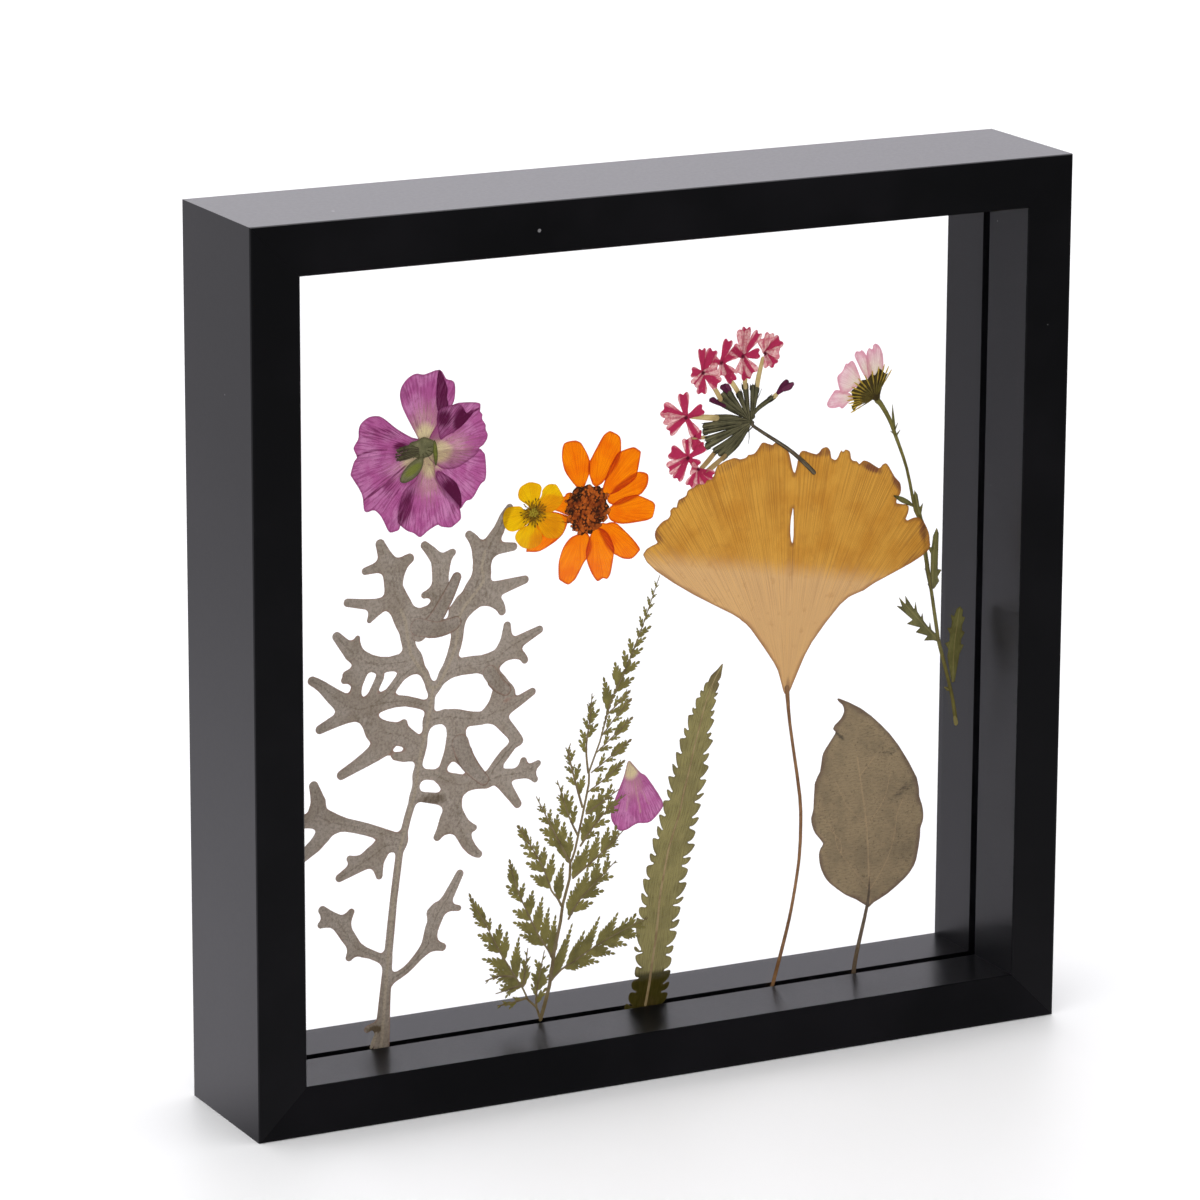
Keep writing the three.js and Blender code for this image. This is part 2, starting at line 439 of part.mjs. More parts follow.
// ---- Fern fronds ----
// The value at a place in a table of [place, value] rows.
function between(table, place) {
  const last = Math.max(table.findIndex(([at]) => at >= place), 1);
  const [from, a] = table[last - 1];
  const [to, b] = table[last];
  return a + ((b - a) * (place - from)) / (to - from);
}

// The outline of a frond along a rib: teeth on both sides that lean towards its tip.
// Reach is a table of [share of the rib, mm], and notch is how deep the teeth are cut, as a share of it.
function toothed(ribPoints, { teeth, reach, notch, lean }) {
  const rib = new THREE.CatmullRomCurve3(ribPoints.map(([x, z]) => new THREE.Vector3(x, z, 0)));
  const left = [];
  const right = [];
  for (let i = 0; i < teeth; i += 1) {
    const share = (i + 0.35) / teeth;
    const out = between(reach, share);
    const along = rib.getTangentAt(share);
    const across = new THREE.Vector3(-along.y, along.x, 0);
    const inner = rib.getPointAt(Math.max(share - 0.5 / teeth, 0));
    const outer = rib.getPointAt(share).addScaledVector(along, out * lean);
    for (const [edge, side] of [[left, 1], [right, -1]]) {
      const cut = inner.clone().addScaledVector(across, side * out * notch);
      const point = outer.clone().addScaledVector(across, side * out);
      edge.push([cut.x, cut.y], [point.x, point.y]);
    }
  }
  return [...right, ribPoints.at(-1), ...left.reverse()];
}

const swordRib = [[4, 11.8], [5.3, 19.8], [7.1, 32.2], [8.5, 45.3], [11, 58.4], [14.6, 69.5],
  [17.5, 81.3], [20.5, 93], [24.1, 104.2], [27.9, 110.9]];
const swordTeeth = {
  teeth: 26, notch: 0.62, lean: 0.28,
  reach: [[0, 6.2], [0.3, 7.4], [0.55, 6.8], [0.75, 5], [0.9, 3], [1, 1]],
};

const laceRib = [[-29.6, 11.8, 0.55], [-27.6, 19.3, 0.55], [-25.6, 29.7, 0.5], [-23.8, 38.4, 0.45],
  [-22.2, 47.5, 0.45], [-20.1, 54.7, 0.45], [-18.5, 62.5, 0.4], [-16.3, 72, 0.4], [-14.9, 78.4, 0.35],
  [-13.9, 85, 0.35], [-12, 90.4, 0.3], [-10.2, 96, 0.3], [-8.4, 101.6, 0.25], [-5.2, 108.8, 0.25],
  [-2.6, 114, 0.22], [0.2, 119.6, 0.2], [2.4, 125.2, 0.2], [5.4, 132.8, 0.18], [7.4, 138, 0.15]];
// Side branches that leave the rib at height from and run through these points. Reach is how far
// the first teeth stand out.
const laceBranches = [
  { from: 14.5, through: [[-31.4, 19.6], [-35, 24.6], [-38.4, 30.6], [-43.8, 40.6], [-48, 49],
    [-51, 54.4]], teeth: 9, reach: 5.6 },
  { from: 16, through: [[-30.6, 21], [-29.6, 26], [-28.4, 30], [-27.6, 34.4]], teeth: 4, reach: 2.4 },
  { from: 15, through: [[-31.6, 20], [-37.4, 23.8], [-42, 25.6], [-46.4, 28]], teeth: 5, reach: 2.6 },
  { from: 31, through: [[-28.6, 37], [-31.2, 43], [-34, 48.6], [-36.4, 55], [-38.8, 62.4]],
    teeth: 8, reach: 5.2 },
  { from: 46.5, through: [[-25.6, 52.4], [-28.4, 58.4], [-31.4, 64], [-36.2, 72]], teeth: 7, reach: 5 },
  { from: 58, through: [[-22.6, 63.6], [-25, 69.6], [-27.8, 75.4], [-30.4, 79.6]],
    teeth: 6, reach: 4.2 },
  { from: 67.4, through: [[-20.4, 74], [-22, 79], [-24, 83.4]], teeth: 5, reach: 3.4 },
  { from: 75, through: [[-18.2, 81], [-19.2, 86.5], [-19.8, 93.6]], teeth: 5, reach: 2.8 },
  { from: 83.6, through: [[-15, 90], [-14.2, 98], [-13.3, 107.2]], teeth: 6, reach: 3 },
  { from: 25, through: [[-19.6, 29.4], [-13, 33], [-6, 36.4], [4, 39.8]], teeth: 7, reach: 6 },
  { from: 41, through: [[-18.6, 45.4], [-13.6, 50], [-8.6, 54.6], [-5.8, 57.6]], teeth: 5, reach: 4.4 },
  { from: 53.4, through: [[-15, 57.4], [-9.6, 61], [-3.6, 64.2]], teeth: 5, reach: 4.2 },
  { from: 63, through: [[-12.6, 68], [-7.4, 73], [-2.8, 76.6]], teeth: 5, reach: 3.8 },
  { from: 72.4, through: [[-11.4, 76], [-4.8, 79.4]], teeth: 4, reach: 3.2 },
  { from: 80.4, through: [[-8.6, 83.6], [-3.2, 86.8]], teeth: 4, reach: 2.8 },
  { from: 87.2, through: [[-7, 90], [-0.8, 92.2]], teeth: 4, reach: 2.4 },
  { from: 92.8, through: [[-7, 95], [-1.2, 98.8]], teeth: 3, reach: 2 },
];
const laceTeeth = { notch: 0.22, lean: 0.75 };
const laceTipReach = 0.6;
// Single leaflets near the tip as [height where it leaves the rib, its tip, half width].
const laceLeaflets = [
  [99.6, [-9.7, 111.4], 1.4], [106.4, [-6.4, 115.2], 1.1], [110.8, [-3.6, 118.4], 0.9],
  [115, [-1.9, 121.6], 0.8], [118.8, [0.5, 124.4], 0.6], [122.4, [1.5, 127.6], 0.5],
  [126, [2.7, 130.4], 0.4], [131.8, [5.1, 135.2], 0.3], [99, [-1.8, 105.6], 1.4],
  [105, [-0.4, 110.4], 1.2], [109.8, [1.4, 114.6], 0.9], [114.6, [2.4, 118.4], 0.7],
  [118.4, [3.3, 121.4], 0.6], [121.8, [4.9, 124.5], 0.5], [125.2, [5.2, 128.1], 0.4],
  [128.4, [6, 131], 0.3],
];

function makeFerns() {
  place('sword_fern_frond', plate(toothed(swordRib, swordTeeth), 2), fernOlive);
  const ribByHeight = laceRib.map(([x, z]) => [z, x]);
  const onRib = (height) => [between(ribByHeight, height), height];
  const outlines = [band(laceRib, 2)];
  for (const { from, through, teeth, reach } of laceBranches) {
    const table = [[0, reach], [0.2, reach], [1, laceTipReach]];
    outlines.push(toothed([onRib(from), ...through], { ...laceTeeth, teeth, reach: table }));
  }
  for (const [height, tip, wide] of laceLeaflets) outlines.push(lobe(onRib(height), tip, wide));
  place('lace_fern_frond', joined(outlines, 1), fernOlive);
}

// ---- Verbena ----
const verbenaHub = [35.6, 179.6, 0.4];
const verbenaStem = [[36.6, 181.6, 0.4], [36.8, 178.9, 0.6], [39.9, 176.2, 0.5], [43.5, 174, 0.5],
  [47.1, 171.4, 0.55], [49.9, 168.9, 0.6], [52.8, 166.6, 0.65], [56, 163.4, 0.7]];
const calyxEnds = [[26.2, 187.4], [28, 188.2], [32.3, 187.6], [33.9, 190], [36.4, 189.3],
  [37.3, 188.4], [24.8, 181.8], [21.8, 180.2], [21.8, 178.6], [22.4, 177.4], [22.6, 174.3],
  [25.2, 172.9], [26.4, 172.1], [27.6, 171.2]];
const calyxHalf = 0.9;
const verbenaBuds = [
  { layer: 2, line: [[27.5, 190, 1.4], [29.2, 187.2, 1.1], [32.6, 181.8, 0.5]] },
  { layer: 0, line: [[23.2, 186.6, 0.9], [27.2, 184.3, 0.7], [32.6, 181, 0.4]] },
  { layer: 2, line: [[49, 188.6, 0.8], [47.3, 189.2, 1.5], [45.4, 187.8, 1], [43, 186, 0.8]] },
];
const verbenaFlorets = [
  { layer: 0, heart: [15.4, 183.1], reach: [[14.2, 189.8], [8.8, 186.2], [9.8, 181], [20.3, 184.8],
    [18.1, 178.6]], tube: [[16.7, 183.1], [24.2, 181.7]] },
  { layer: 2, heart: [17.9, 176.6], reach: [[16, 176.4], [17.8, 174.2], [19.9, 174.8]],
    tube: [[18, 176.7], [21.6, 177.2]] },
  { layer: 1, heart: [16.4, 171.4], reach: [[15.6, 177], [10.6, 173.8], [10.2, 168.2], [13, 165.8],
    [20.8, 173.8], [19.2, 169.6]], tube: [[17, 171.6], [21, 173.6]] },
  { layer: 0, heart: [18.6, 167.6], reach: [[16.7, 163.3], [15.3, 166.6], [22.6, 165.4], [20.3, 164.8]],
    tube: [[19.6, 168], [27, 170.6]] },
  { layer: 0, heart: [20.8, 195.5], reach: [[16.8, 195.4], [20.2, 201.8], [23.6, 201], [20, 189.6],
    [25.3, 191.7]], tube: [[22.6, 193], [26.6, 188.1]] },
  { layer: 2, heart: [26.4, 197.7], reach: [[21.4, 197.4], [28.3, 203], [30.1, 192.2], [26.4, 193.2]],
    tube: [[29.6, 193.4], [32.4, 188.2]] },
  { layer: 0, heart: [33, 198.6], reach: [[28.9, 203.3], [33.4, 206.3], [34.8, 206.7], [37.4, 205.6],
    [38.7, 204], [33.5, 192.4], [35.6, 192.8]], tube: [[33.4, 194], [33.9, 190.2]] },
  { layer: 2, heart: [40.3, 199.1], reach: [[40.2, 203.3], [43.5, 203.3], [45.7, 201.4],
    [44.6, 199.3], [44.3, 196.5], [42.6, 195], [35.6, 198.9]], tube: [[39.6, 198], [37.5, 188.8]] },
];
const floretPetalHalf = 1.25;
const tubeHalf = 0.7;

function makeVerbena() {
  const calyxes = calyxEnds.map(([x, z]) => band([verbenaHub, [x, z, calyxHalf]], 2));
  const sideCalyx = band([[36.6, 181, 0.5], [41.6, 185.5, calyxHalf]], 2);
  place('verbena_stem', joined([band(verbenaStem), sideCalyx, ...calyxes], 1), verbenaGreen);
  verbenaBuds.forEach(({ layer, line }, i) => {
    place(`verbena_bud_${i + 1}`, plate(band(line), layer), budPurple);
  });
  verbenaFlorets.forEach(({ layer, heart, reach, tube }, i) => {
    const petals = reach.map((tip) => lobe(heart, tip, floretPetalHalf, 0.8, 0.4, 0.8));
    const outlines = [...petals, band([[...tube[0], tubeHalf], [...tube[1], tubeHalf]], 2)];
    place(`verbena_floret_${i + 1}`, joined(outlines, layer), verbenaRed);
  });
}

// ---- Pink daisy ----
const daisyPetals = [
  { layer: 2, outline: [[74.6, 186.8], [72.8, 192], [72.8, 196.3], [74.5, 196.8], [75.4, 198.3],
    [77.5, 196.1], [78, 192], [77.6, 188.6]] },
  { layer: 3, outline: [[73.6, 186.4], [71.2, 190.8], [69.3, 194.5], [69.5, 196.6], [71.1, 196.8],
    [72.8, 194.6], [74.6, 190.6], [75.2, 187.6]] },
  { layer: 2, outline: [[72, 186.2], [70.2, 190.5], [68.6, 193.7], [66, 193.4], [64, 190.7],
    [63.3, 189.5], [64.4, 185.6], [67.3, 185.3], [71.4, 184.4]] },
  { layer: 3, outline: [[71.6, 184.6], [66.7, 185.2], [63.4, 186.1], [61.9, 184.7], [60.3, 182.5],
    [61.4, 181.2], [65.3, 180.8], [67.4, 182.3], [71.4, 182.6]] },
];
const daisyHead = [[76.7, 181.2], [77.3, 183.8], [79.2, 188], [80.5, 190.3], [79, 189.4], [78, 190.6],
  [76.7, 191.6], [75.3, 189.6], [74.2, 190.2], [72.7, 188.6], [71, 188.6], [69.3, 186.6],
  [67.3, 185.6], [67.9, 183.8], [68.3, 182.3], [67.7, 181.2], [67.8, 180.2], [68.7, 179.4],
  [72.3, 181.5], [74.3, 182]];
const daisyStem = [[76.6, 182, 0.7], [79.2, 178.5, 0.65], [81.7, 173.3, 0.65], [84, 167.7, 0.5],
  [86.5, 161.2, 0.45], [88.3, 154.3, 0.4], [89.6, 148.6, 0.45], [92, 143, 0.5], [92.9, 136.2, 0.5],
  [94.7, 127.6, 0.5], [96.5, 117.4, 0.5], [98.3, 108.2, 0.55], [101.7, 96.9, 0.6], [103.3, 90, 0.7],
  [104.1, 84.6, 0.7]];
const daisyLeaves = [
  [[90.6, 146.4], [89.6, 150.6], [89.2, 154], [90.6, 152.2], [91.2, 149.8], [92, 150.2], [91.6, 147.4]],
  [[95.6, 124.6], [94.8, 128], [94.9, 133.6], [95.2, 139], [96.7, 142.5], [98, 139.4], [98.4, 133],
    [98.7, 129.6], [97.4, 128.4], [96.6, 125.6]],
  [[95.3, 125.4], [93.9, 130.4], [93.2, 136.2], [93, 137.8], [94.4, 135], [95.2, 130]],
  [[98.4, 108.6], [93.8, 110], [94.4, 111.2], [90.6, 112.8], [91.4, 114.4], [87.8, 115.7],
    [88.8, 117], [84.1, 121.2], [85.6, 121], [84.7, 123.6], [86.4, 122.6], [86.9, 123.7], [90, 119.8],
    [90.3, 121.2], [92.2, 117], [92.6, 118.2], [94.6, 114], [95, 115.2], [97.6, 111.2]],
  [[102, 96.4], [101.4, 102], [100.3, 104], [101.2, 106.4], [100.3, 108.2], [101.3, 110.4],
    [101, 112], [101.8, 116], [104.4, 118.6], [106.2, 117], [106.5, 114.8], [105.8, 112],
    [106.4, 110.6], [105.4, 107.4], [106, 106.2], [103.6, 100.4]],
  [[81.4, 180], [81.7, 177.2], [81.6, 174], [82.8, 174.2]],
];
const daisyFrontLeaf = [[88.4, 150.6], [86.4, 153], [82.2, 154.2], [83.4, 152.6], [86.6, 150.6],
  [88.3, 149.8]];

function makeDaisy() {
  daisyPetals.forEach(({ layer, outline }, i) => {
    place(`daisy_petal_${i + 1}`, plate(smooth(outline), layer), daisyPink);
  });
  place('daisy_head', plate(daisyHead, 1), daisyGreen);
  place('daisy_stem', joined([band(daisyStem), ...daisyLeaves], 4), daisyGreen);
  place('daisy_front_leaf', plate(daisyFrontLeaf, 1), daisyGreen);
}

makeRails();
makePanes();
makeZinnia();
makeButtercup();
makeMallow();
makeGinkgo();
makeBrownLeaf();
makeDustyMiller();
makeFerns();
makeVerbena();
makeDaisy();

export default frame;
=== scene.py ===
# Pressed flower frame: four black rails, two panes of glass and pressed plants between them.
import math
import bpy
import numpy as np
from mathutils import Vector, Matrix


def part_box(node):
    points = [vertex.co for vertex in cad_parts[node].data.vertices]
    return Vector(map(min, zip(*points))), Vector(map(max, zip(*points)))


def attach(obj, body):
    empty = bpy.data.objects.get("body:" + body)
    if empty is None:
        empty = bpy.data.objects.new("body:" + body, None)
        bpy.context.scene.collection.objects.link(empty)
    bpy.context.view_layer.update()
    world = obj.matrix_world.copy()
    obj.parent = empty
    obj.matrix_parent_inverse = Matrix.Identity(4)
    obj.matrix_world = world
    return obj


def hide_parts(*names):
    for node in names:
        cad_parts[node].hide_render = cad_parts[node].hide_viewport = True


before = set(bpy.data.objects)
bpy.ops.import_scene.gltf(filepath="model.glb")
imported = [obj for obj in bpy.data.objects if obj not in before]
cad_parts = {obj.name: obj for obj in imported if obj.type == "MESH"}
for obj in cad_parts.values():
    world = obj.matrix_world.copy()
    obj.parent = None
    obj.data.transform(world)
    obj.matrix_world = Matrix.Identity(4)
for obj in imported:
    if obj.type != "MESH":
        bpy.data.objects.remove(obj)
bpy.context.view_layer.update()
scene = bpy.context.scene
scene.view_settings.view_transform = "Standard"
mm = 0.001
print("frame loaded:", len(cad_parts), "nodes")


# colours are written as they look on screen, 0 to 255
def rgb(red, green, blue):
    def linear(value):
        share = value / 255
        return share / 12.92 if share <= 0.04045 else ((share + 0.055) / 1.055) ** 2.4
    return (linear(red), linear(green), linear(blue), 1.0)


def add(tree, kind, inputs=None, **settings):
    node = tree.nodes.new("ShaderNode" + kind)
    for key, value in settings.items():
        setattr(node, key, value)
    for key, value in (inputs or {}).items():
        if isinstance(value, bpy.types.NodeSocket):
            tree.links.new(value, node.inputs[key])
        else:
            node.inputs[key].default_value = value
    return node


def calc(tree, operation, a, b=0.0, clamp=False):
    return add(tree, "Math", {0: a, 1: b}, operation=operation, use_clamp=clamp).outputs[0]


def mix(tree, factor, a, b):
    return add(tree, "Mix", {0: factor, 6: a, 7: b}, data_type="RGBA").outputs[2]


def between(tree, value, low, high, out=(0.0, 1.0)):
    inputs = {0: value, 1: low, 2: high, 3: out[0], 4: out[1]}
    return add(tree, "MapRange", inputs, interpolation_type="SMOOTHSTEP").outputs[0]


def noise(tree, place, scale, detail=3.0, rough=0.55):
    node = add(tree, "TexNoise", {"Vector": place, "Scale": scale, "Detail": detail, "Roughness": rough})
    return node.outputs["Fac"]


def stretch(tree, place, x, y, z):
    return add(tree, "Mapping", {"Vector": place, "Scale": (x, y, z)}).outputs[0]


def newMaterial(name):
    material = bpy.data.materials.new(name)
    material.use_nodes = True
    return material, material.node_tree, material.node_tree.nodes["Principled BSDF"]


# camera, placed by its angles round the frame
cameraLook = {
    "azimuth": -27.014, "elevation": 14.518, "roll": 0.250,  # degrees
    "distance": 1.64776, "target": (-0.010815, 0.0, 0.133876), "lens": 178.745,
}


def makeCamera(look):
    turn = math.radians(look["azimuth"])
    lift = math.radians(look["elevation"])
    roll = math.radians(look["roll"])
    back = Vector((math.sin(turn) * math.cos(lift), -math.cos(turn) * math.cos(lift), math.sin(lift)))
    right = Vector((math.cos(turn), math.sin(turn), 0.0))
    up = back.cross(right)
    rolledRight = right * math.cos(roll) + up * math.sin(roll)
    rolledUp = up * math.cos(roll) - right * math.sin(roll)
    place = Matrix((rolledRight, rolledUp, back)).transposed().to_4x4()
    place.translation = Vector(look["target"]) + back * look["distance"]
    data = bpy.data.cameras.new("camera")
    data.lens = look["lens"]
    data.sensor_width = 36.0
    camera = bpy.data.objects.new("camera", data)
    camera.matrix_world = place
    scene.collection.objects.link(camera)
    scene.camera = camera


makeCamera(cameraLook)

# pale floor and bright backdrop; in reflections the room is dark in front and bright behind
studioLook = {
    "floor": 0.98, "floorSize": 9.0, "ambient": 1.0, "backdrop": 1.0, "throughGlass": 1.24,
    "roomBack": 1.72, "roomFront": 0.04, "roomTint": (0.95, 0.925, 1.0, 1.0), "nearFloorInGloss": 0.3,
    "farFloorInGloss": 0.05, "backFloorInGloss": (1.3, 0.8), "floorEdge": -0.75,
    "floorEdgeSlope": 0.85, "floorEdgeSoftness": 0.04, "keyPlace": (-0.9, -0.9, 2.0), "keySize": 1.4,
    "keyPower": 6.0, "backPlace": (0.5, 1.7, 1.7), "backSize": 1.8, "backPower": 8.0,
}


def choose(tree, factor, a, b):
    return add(tree, "Mix", {0: factor, 2: a, 3: b}, data_type="FLOAT").outputs[0]


# rays that a shiny surface has turned back, and rays that went straight through the panes
def rayKinds(tree):
    ray = add(tree, "LightPath")
    turned = calc(tree, "MINIMUM", ray.outputs["Glossy Depth"], 1.0)
    mirrored = calc(tree, "MULTIPLY", turned, calc(tree, "SUBTRACT", 1.0, ray.outputs["Is Diffuse Ray"]))
    unmirrored = calc(tree, "SUBTRACT", 1.0, mirrored)
    through = calc(tree, "MULTIPLY", ray.outputs["Is Transmission Ray"], unmirrored)
    return ray, mirrored, through


def makeWorld(look):
    world = bpy.data.worlds.new("studio")
    world.use_nodes = True
    world.cycles.sampling_method = "NONE"
    scene.world = world
    tree = world.node_tree
    tree.nodes.clear()
    ray, mirrored, through = rayKinds(tree)
    direction = add(tree, "TexCoord").outputs["Generated"]
    depth = add(tree, "SeparateXYZ", {0: direction}).outputs["Y"]
    room = between(tree, depth, -0.35, 0.55, (look["roomFront"], look["roomBack"]))
    strength = choose(tree, through, look["ambient"], look["throughGlass"])
    strength = choose(tree, mirrored, strength, room)
    strength = choose(tree, ray.outputs["Is Camera Ray"], strength, look["backdrop"])
    colour = mix(tree, mirrored, (1.0, 1.0, 1.0, 1.0), look["roomTint"])
    light = add(tree, "Background", {"Color": colour, "Strength": strength})
    add(tree, "OutputWorld", {"Surface": light.outputs[0]})


def makeFloor(look):
    half = look["floorSize"] / 2
    corners = [(-half, -half, 0), (half, -half, 0), (half, half, 0), (-half, half, 0)]
    mesh = bpy.data.meshes.new("floor")
    mesh.from_pydata(corners, [], [(0, 1, 2, 3)])
    floor = bpy.data.objects.new("floor", mesh)
    scene.collection.objects.link(floor)
    material, tree, shader = newMaterial("paleFloor")
    shader.inputs["Base Color"].default_value = (look["floor"], look["floor"], look["floor"] * 1.01, 1.0)
    shader.inputs["Roughness"].default_value = 0.5
    shader.inputs["Specular IOR Level"].default_value = 0.3
    mirrored, through = rayKinds(tree)[1:]
    place = add(tree, "SeparateXYZ", {0: add(tree, "NewGeometry").outputs["Position"]})
    sideways = calc(tree, "MULTIPLY", place.outputs["X"], look["floorEdgeSlope"])
    slant = calc(tree, "SUBTRACT", place.outputs["Y"], sideways)
    edge, soft = look["floorEdge"], look["floorEdgeSoftness"]
    # in reflections the floor glows, brighter near the frame and behind it than far off in front: painted
    # reflection
    farAndNear = (look["farFloorInGloss"], look["nearFloorInGloss"])
    near = between(tree, slant, edge - soft, edge + soft, farAndNear)
    back = between(tree, place.outputs["Y"], 0.1, 0.8, look["backFloorInGloss"])
    near = choose(tree, between(tree, place.outputs["Y"], -0.04, 0.04), near, back)
    bright = add(tree, "Emission", {"Color": look["roomTint"], "Strength": near})
    both = add(tree, "MixShader", {0: mirrored, 1: shader.outputs[0], 2: bright.outputs[0]})
    # where rays reach the floor through the glass, it glows white: painted light
    extra = add(tree, "Emission", {"Color": (1.0, 1.0, 1.0, 1.0), "Strength": look["throughGlass"]})
    share = calc(tree, "MULTIPLY", through, 0.75)
    both = add(tree, "MixShader", {0: share, 1: both.outputs[0], 2: extra.outputs[0]})
    tree.links.new(both.outputs[0], tree.nodes["Material Output"].inputs["Surface"])
    mesh.materials.append(material)


def makeLamp(name, place, size, power):
    data = bpy.data.lights.new(name, "AREA")
    data.shape = "DISK"
    data.size = size
    data.energy = power
    lamp = bpy.data.objects.new(name, data)
    lamp.location = place
    lamp.rotation_euler = (Vector((0, 0, 0.12)) - Vector(place)).to_track_quat("-Z", "Y").to_euler()
    lamp.visible_camera = False
    scene.collection.objects.link(lamp)


makeWorld(studioLook)
makeFloor(studioLook)
makeLamp("key", studioLook["keyPlace"], studioLook["keySize"], studioLook["keyPower"])
makeLamp("back", studioLook["backPlace"], studioLook["backSize"], studioLook["backPower"])
print("studio ready")

# black painted rails: smooth satin paint with a few dust specks; the bottom rail takes a copy with less
# sheen, which darkens it as painted shade
railLook = {
    "paint": rgb(13, 13, 15), "worn": rgb(19, 18, 21), "dust": rgb(150, 148, 150), "dustAmount": 0.55,
    "specular": 0.2, "specularBelow": 0.085, "roughness": (0.31, 0.33), "grain": 0.006, "bevel": 0.25,  # mm
}


def railMaterial(name, look, specular):
    material, tree, shader = newMaterial(name)
    place = add(tree, "NewGeometry").outputs["Position"]
    grain = noise(tree, place, 900.0, 2.0)
    cloud = noise(tree, place, 22.0, 3.0)
    colour = mix(tree, between(tree, cloud, 0.4, 0.75), look["paint"], look["worn"])
    specks = add(tree, "TexVoronoi", {"Vector": place, "Scale": 240.0}, feature="F1")
    size = noise(tree, place, 130.0, 1.0)
    dust = calc(tree, "LESS_THAN", specks.outputs["Distance"], between(tree, size, 0.62, 0.8, (0.0, 0.13)))
    colour = mix(tree, calc(tree, "MULTIPLY", dust, look["dustAmount"]), colour, look["dust"])
    tree.links.new(colour, shader.inputs["Base Color"])
    low, high = look["roughness"]
    tree.links.new(between(tree, grain, 0.3, 0.7, (low, high)), shader.inputs["Roughness"])
    shader.inputs["Specular IOR Level"].default_value = specular
    bump = add(tree, "Bump", {"Strength": look["grain"], "Distance": 0.0001, "Height": grain})
    tree.links.new(bump.outputs[0], shader.inputs["Normal"])
    return material


def finishRails(look):
    satin = railMaterial("satinBlack", look, look["specular"])
    # the bottom rail's copy has less sheen so it looks darker: painted shade, for the shaded floor that it
    # mirrors
    shadedSatin = railMaterial("shadedSatinBlack", look, look["specularBelow"])
    for name in ("rail_top", "rail_bottom", "rail_left", "rail_right"):
        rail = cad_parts[name]
        rail.data.materials.clear()
        rail.data.materials.append(shadedSatin if name == "rail_bottom" else satin)
        bevel = rail.modifiers.new("softEdge", "BEVEL")
        bevel.width = look["bevel"] * mm
        bevel.segments = 2
        bevel.limit_method = "ANGLE"


finishRails(railLook)
print("rails painted")

# clear glass that lets the lamps through to the plants
glassLook = {"tint": (0.988, 0.988, 0.994, 1.0), "ior": 1.36}


def finishGlass(look):
    material, tree, shader = newMaterial("clearGlass")
    shader.inputs["Base Color"].default_value = look["tint"]
    shader.inputs["Roughness"].default_value = 0.0
    shader.inputs["IOR"].default_value = look["ior"]
    shader.inputs["Transmission Weight"].default_value = 1.0
    ray = add(tree, "LightPath")
    through = calc(tree, "MAXIMUM", ray.outputs["Is Shadow Ray"], ray.outputs["Is Diffuse Ray"])
    clear = add(tree, "BsdfTransparent", {"Color": look["tint"]})
    both = add(tree, "MixShader", {0: through, 1: shader.outputs[0], 2: clear.outputs[0]})
    tree.links.new(both.outputs[0], tree.nodes["Material Output"].inputs["Surface"])
    for name in ("glass_front", "glass_back"):
        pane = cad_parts[name]
        pane.data.materials.clear()
        pane.data.materials.append(material)


finishGlass(glassLook)
print("glass set in")

# pressed plants: thin sheets between the panes, drawn in millimetres as x (right) and z (up)
def newParts():
    return {"places": [], "faces": [], "slots": [], "grain": [], "shades": []}


def addPoints(parts, x, y, z, grain, shades):
    first = len(parts["places"])
    parts["places"].extend(zip(x, y, z))
    parts["grain"].extend(zip(*grain))
    parts["shades"].extend(zip(*shades))
    return first


def addFaces(parts, faces, first, slot=0):
    parts["faces"].extend([first + corner for corner in face] for face in faces)
    parts["slots"].extend([slot] * len(faces))


# an empty mesh for a piece, and the middle of the CAD node that it stands for
def startPiece(node):
    low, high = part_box(node)
    return newParts(), (low.y + high.y) / 2 / mm


# one finished piece: a mesh that rides on the frame and stands for the CAD node of its name
def makePiece(name, parts, materials):
    mesh = bpy.data.meshes.new(name)
    mesh.from_pydata([(x * mm, y * mm, z * mm) for x, y, z in parts["places"]], [], parts["faces"])
    for material in materials:
        mesh.materials.append(material)
    mesh.polygons.foreach_set("material_index", parts["slots"])
    mesh.polygons.foreach_set("use_smooth", [True] * len(mesh.polygons))
    for key in ("grain", "shades"):
        layer = mesh.attributes.new(key, "FLOAT_VECTOR", "POINT")
        layer.data.foreach_set("vector", np.array(parts[key], dtype=np.float32).ravel())
    mesh.update()
    piece = bpy.data.objects.new(name, mesh)
    scene.collection.objects.link(piece)
    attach(piece, "root")
    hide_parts(name)


# a smooth curve from b to c, led by the points a and d beside them
def curveThrough(a, b, c, d, t):
    squared = (2 * a - 5 * b + 4 * c - d) * t ** 2
    cubed = (3 * b - a - 3 * c + d) * t ** 3
    return 0.5 * (2 * b + (c - a) * t + squared + cubed)


# a closed line drawn smoothly through its points
def roundOutline(points, steps=3):
    corners = np.array(points, dtype=float)
    before, after, later = np.roll(corners, 1, 0), np.roll(corners, -1, 0), np.roll(corners, -2, 0)
    rows = [curveThrough(before, corners, after, later, step / steps) for step in range(steps)]
    return np.stack(rows, 1).reshape(-1, 2)


# an open line drawn smoothly through [x, z, ...] points
def roundLine(points, steps=4):
    rows = np.array(points, dtype=float)
    padded = np.vstack([2 * rows[0] - rows[1], rows, 2 * rows[-1] - rows[-2]])
    out = []
    for i in range(len(rows) - 1):
        out += [curveThrough(*padded[i:i + 4], step / steps) for step in range(steps)]
    return np.array(out + [rows[-1]])


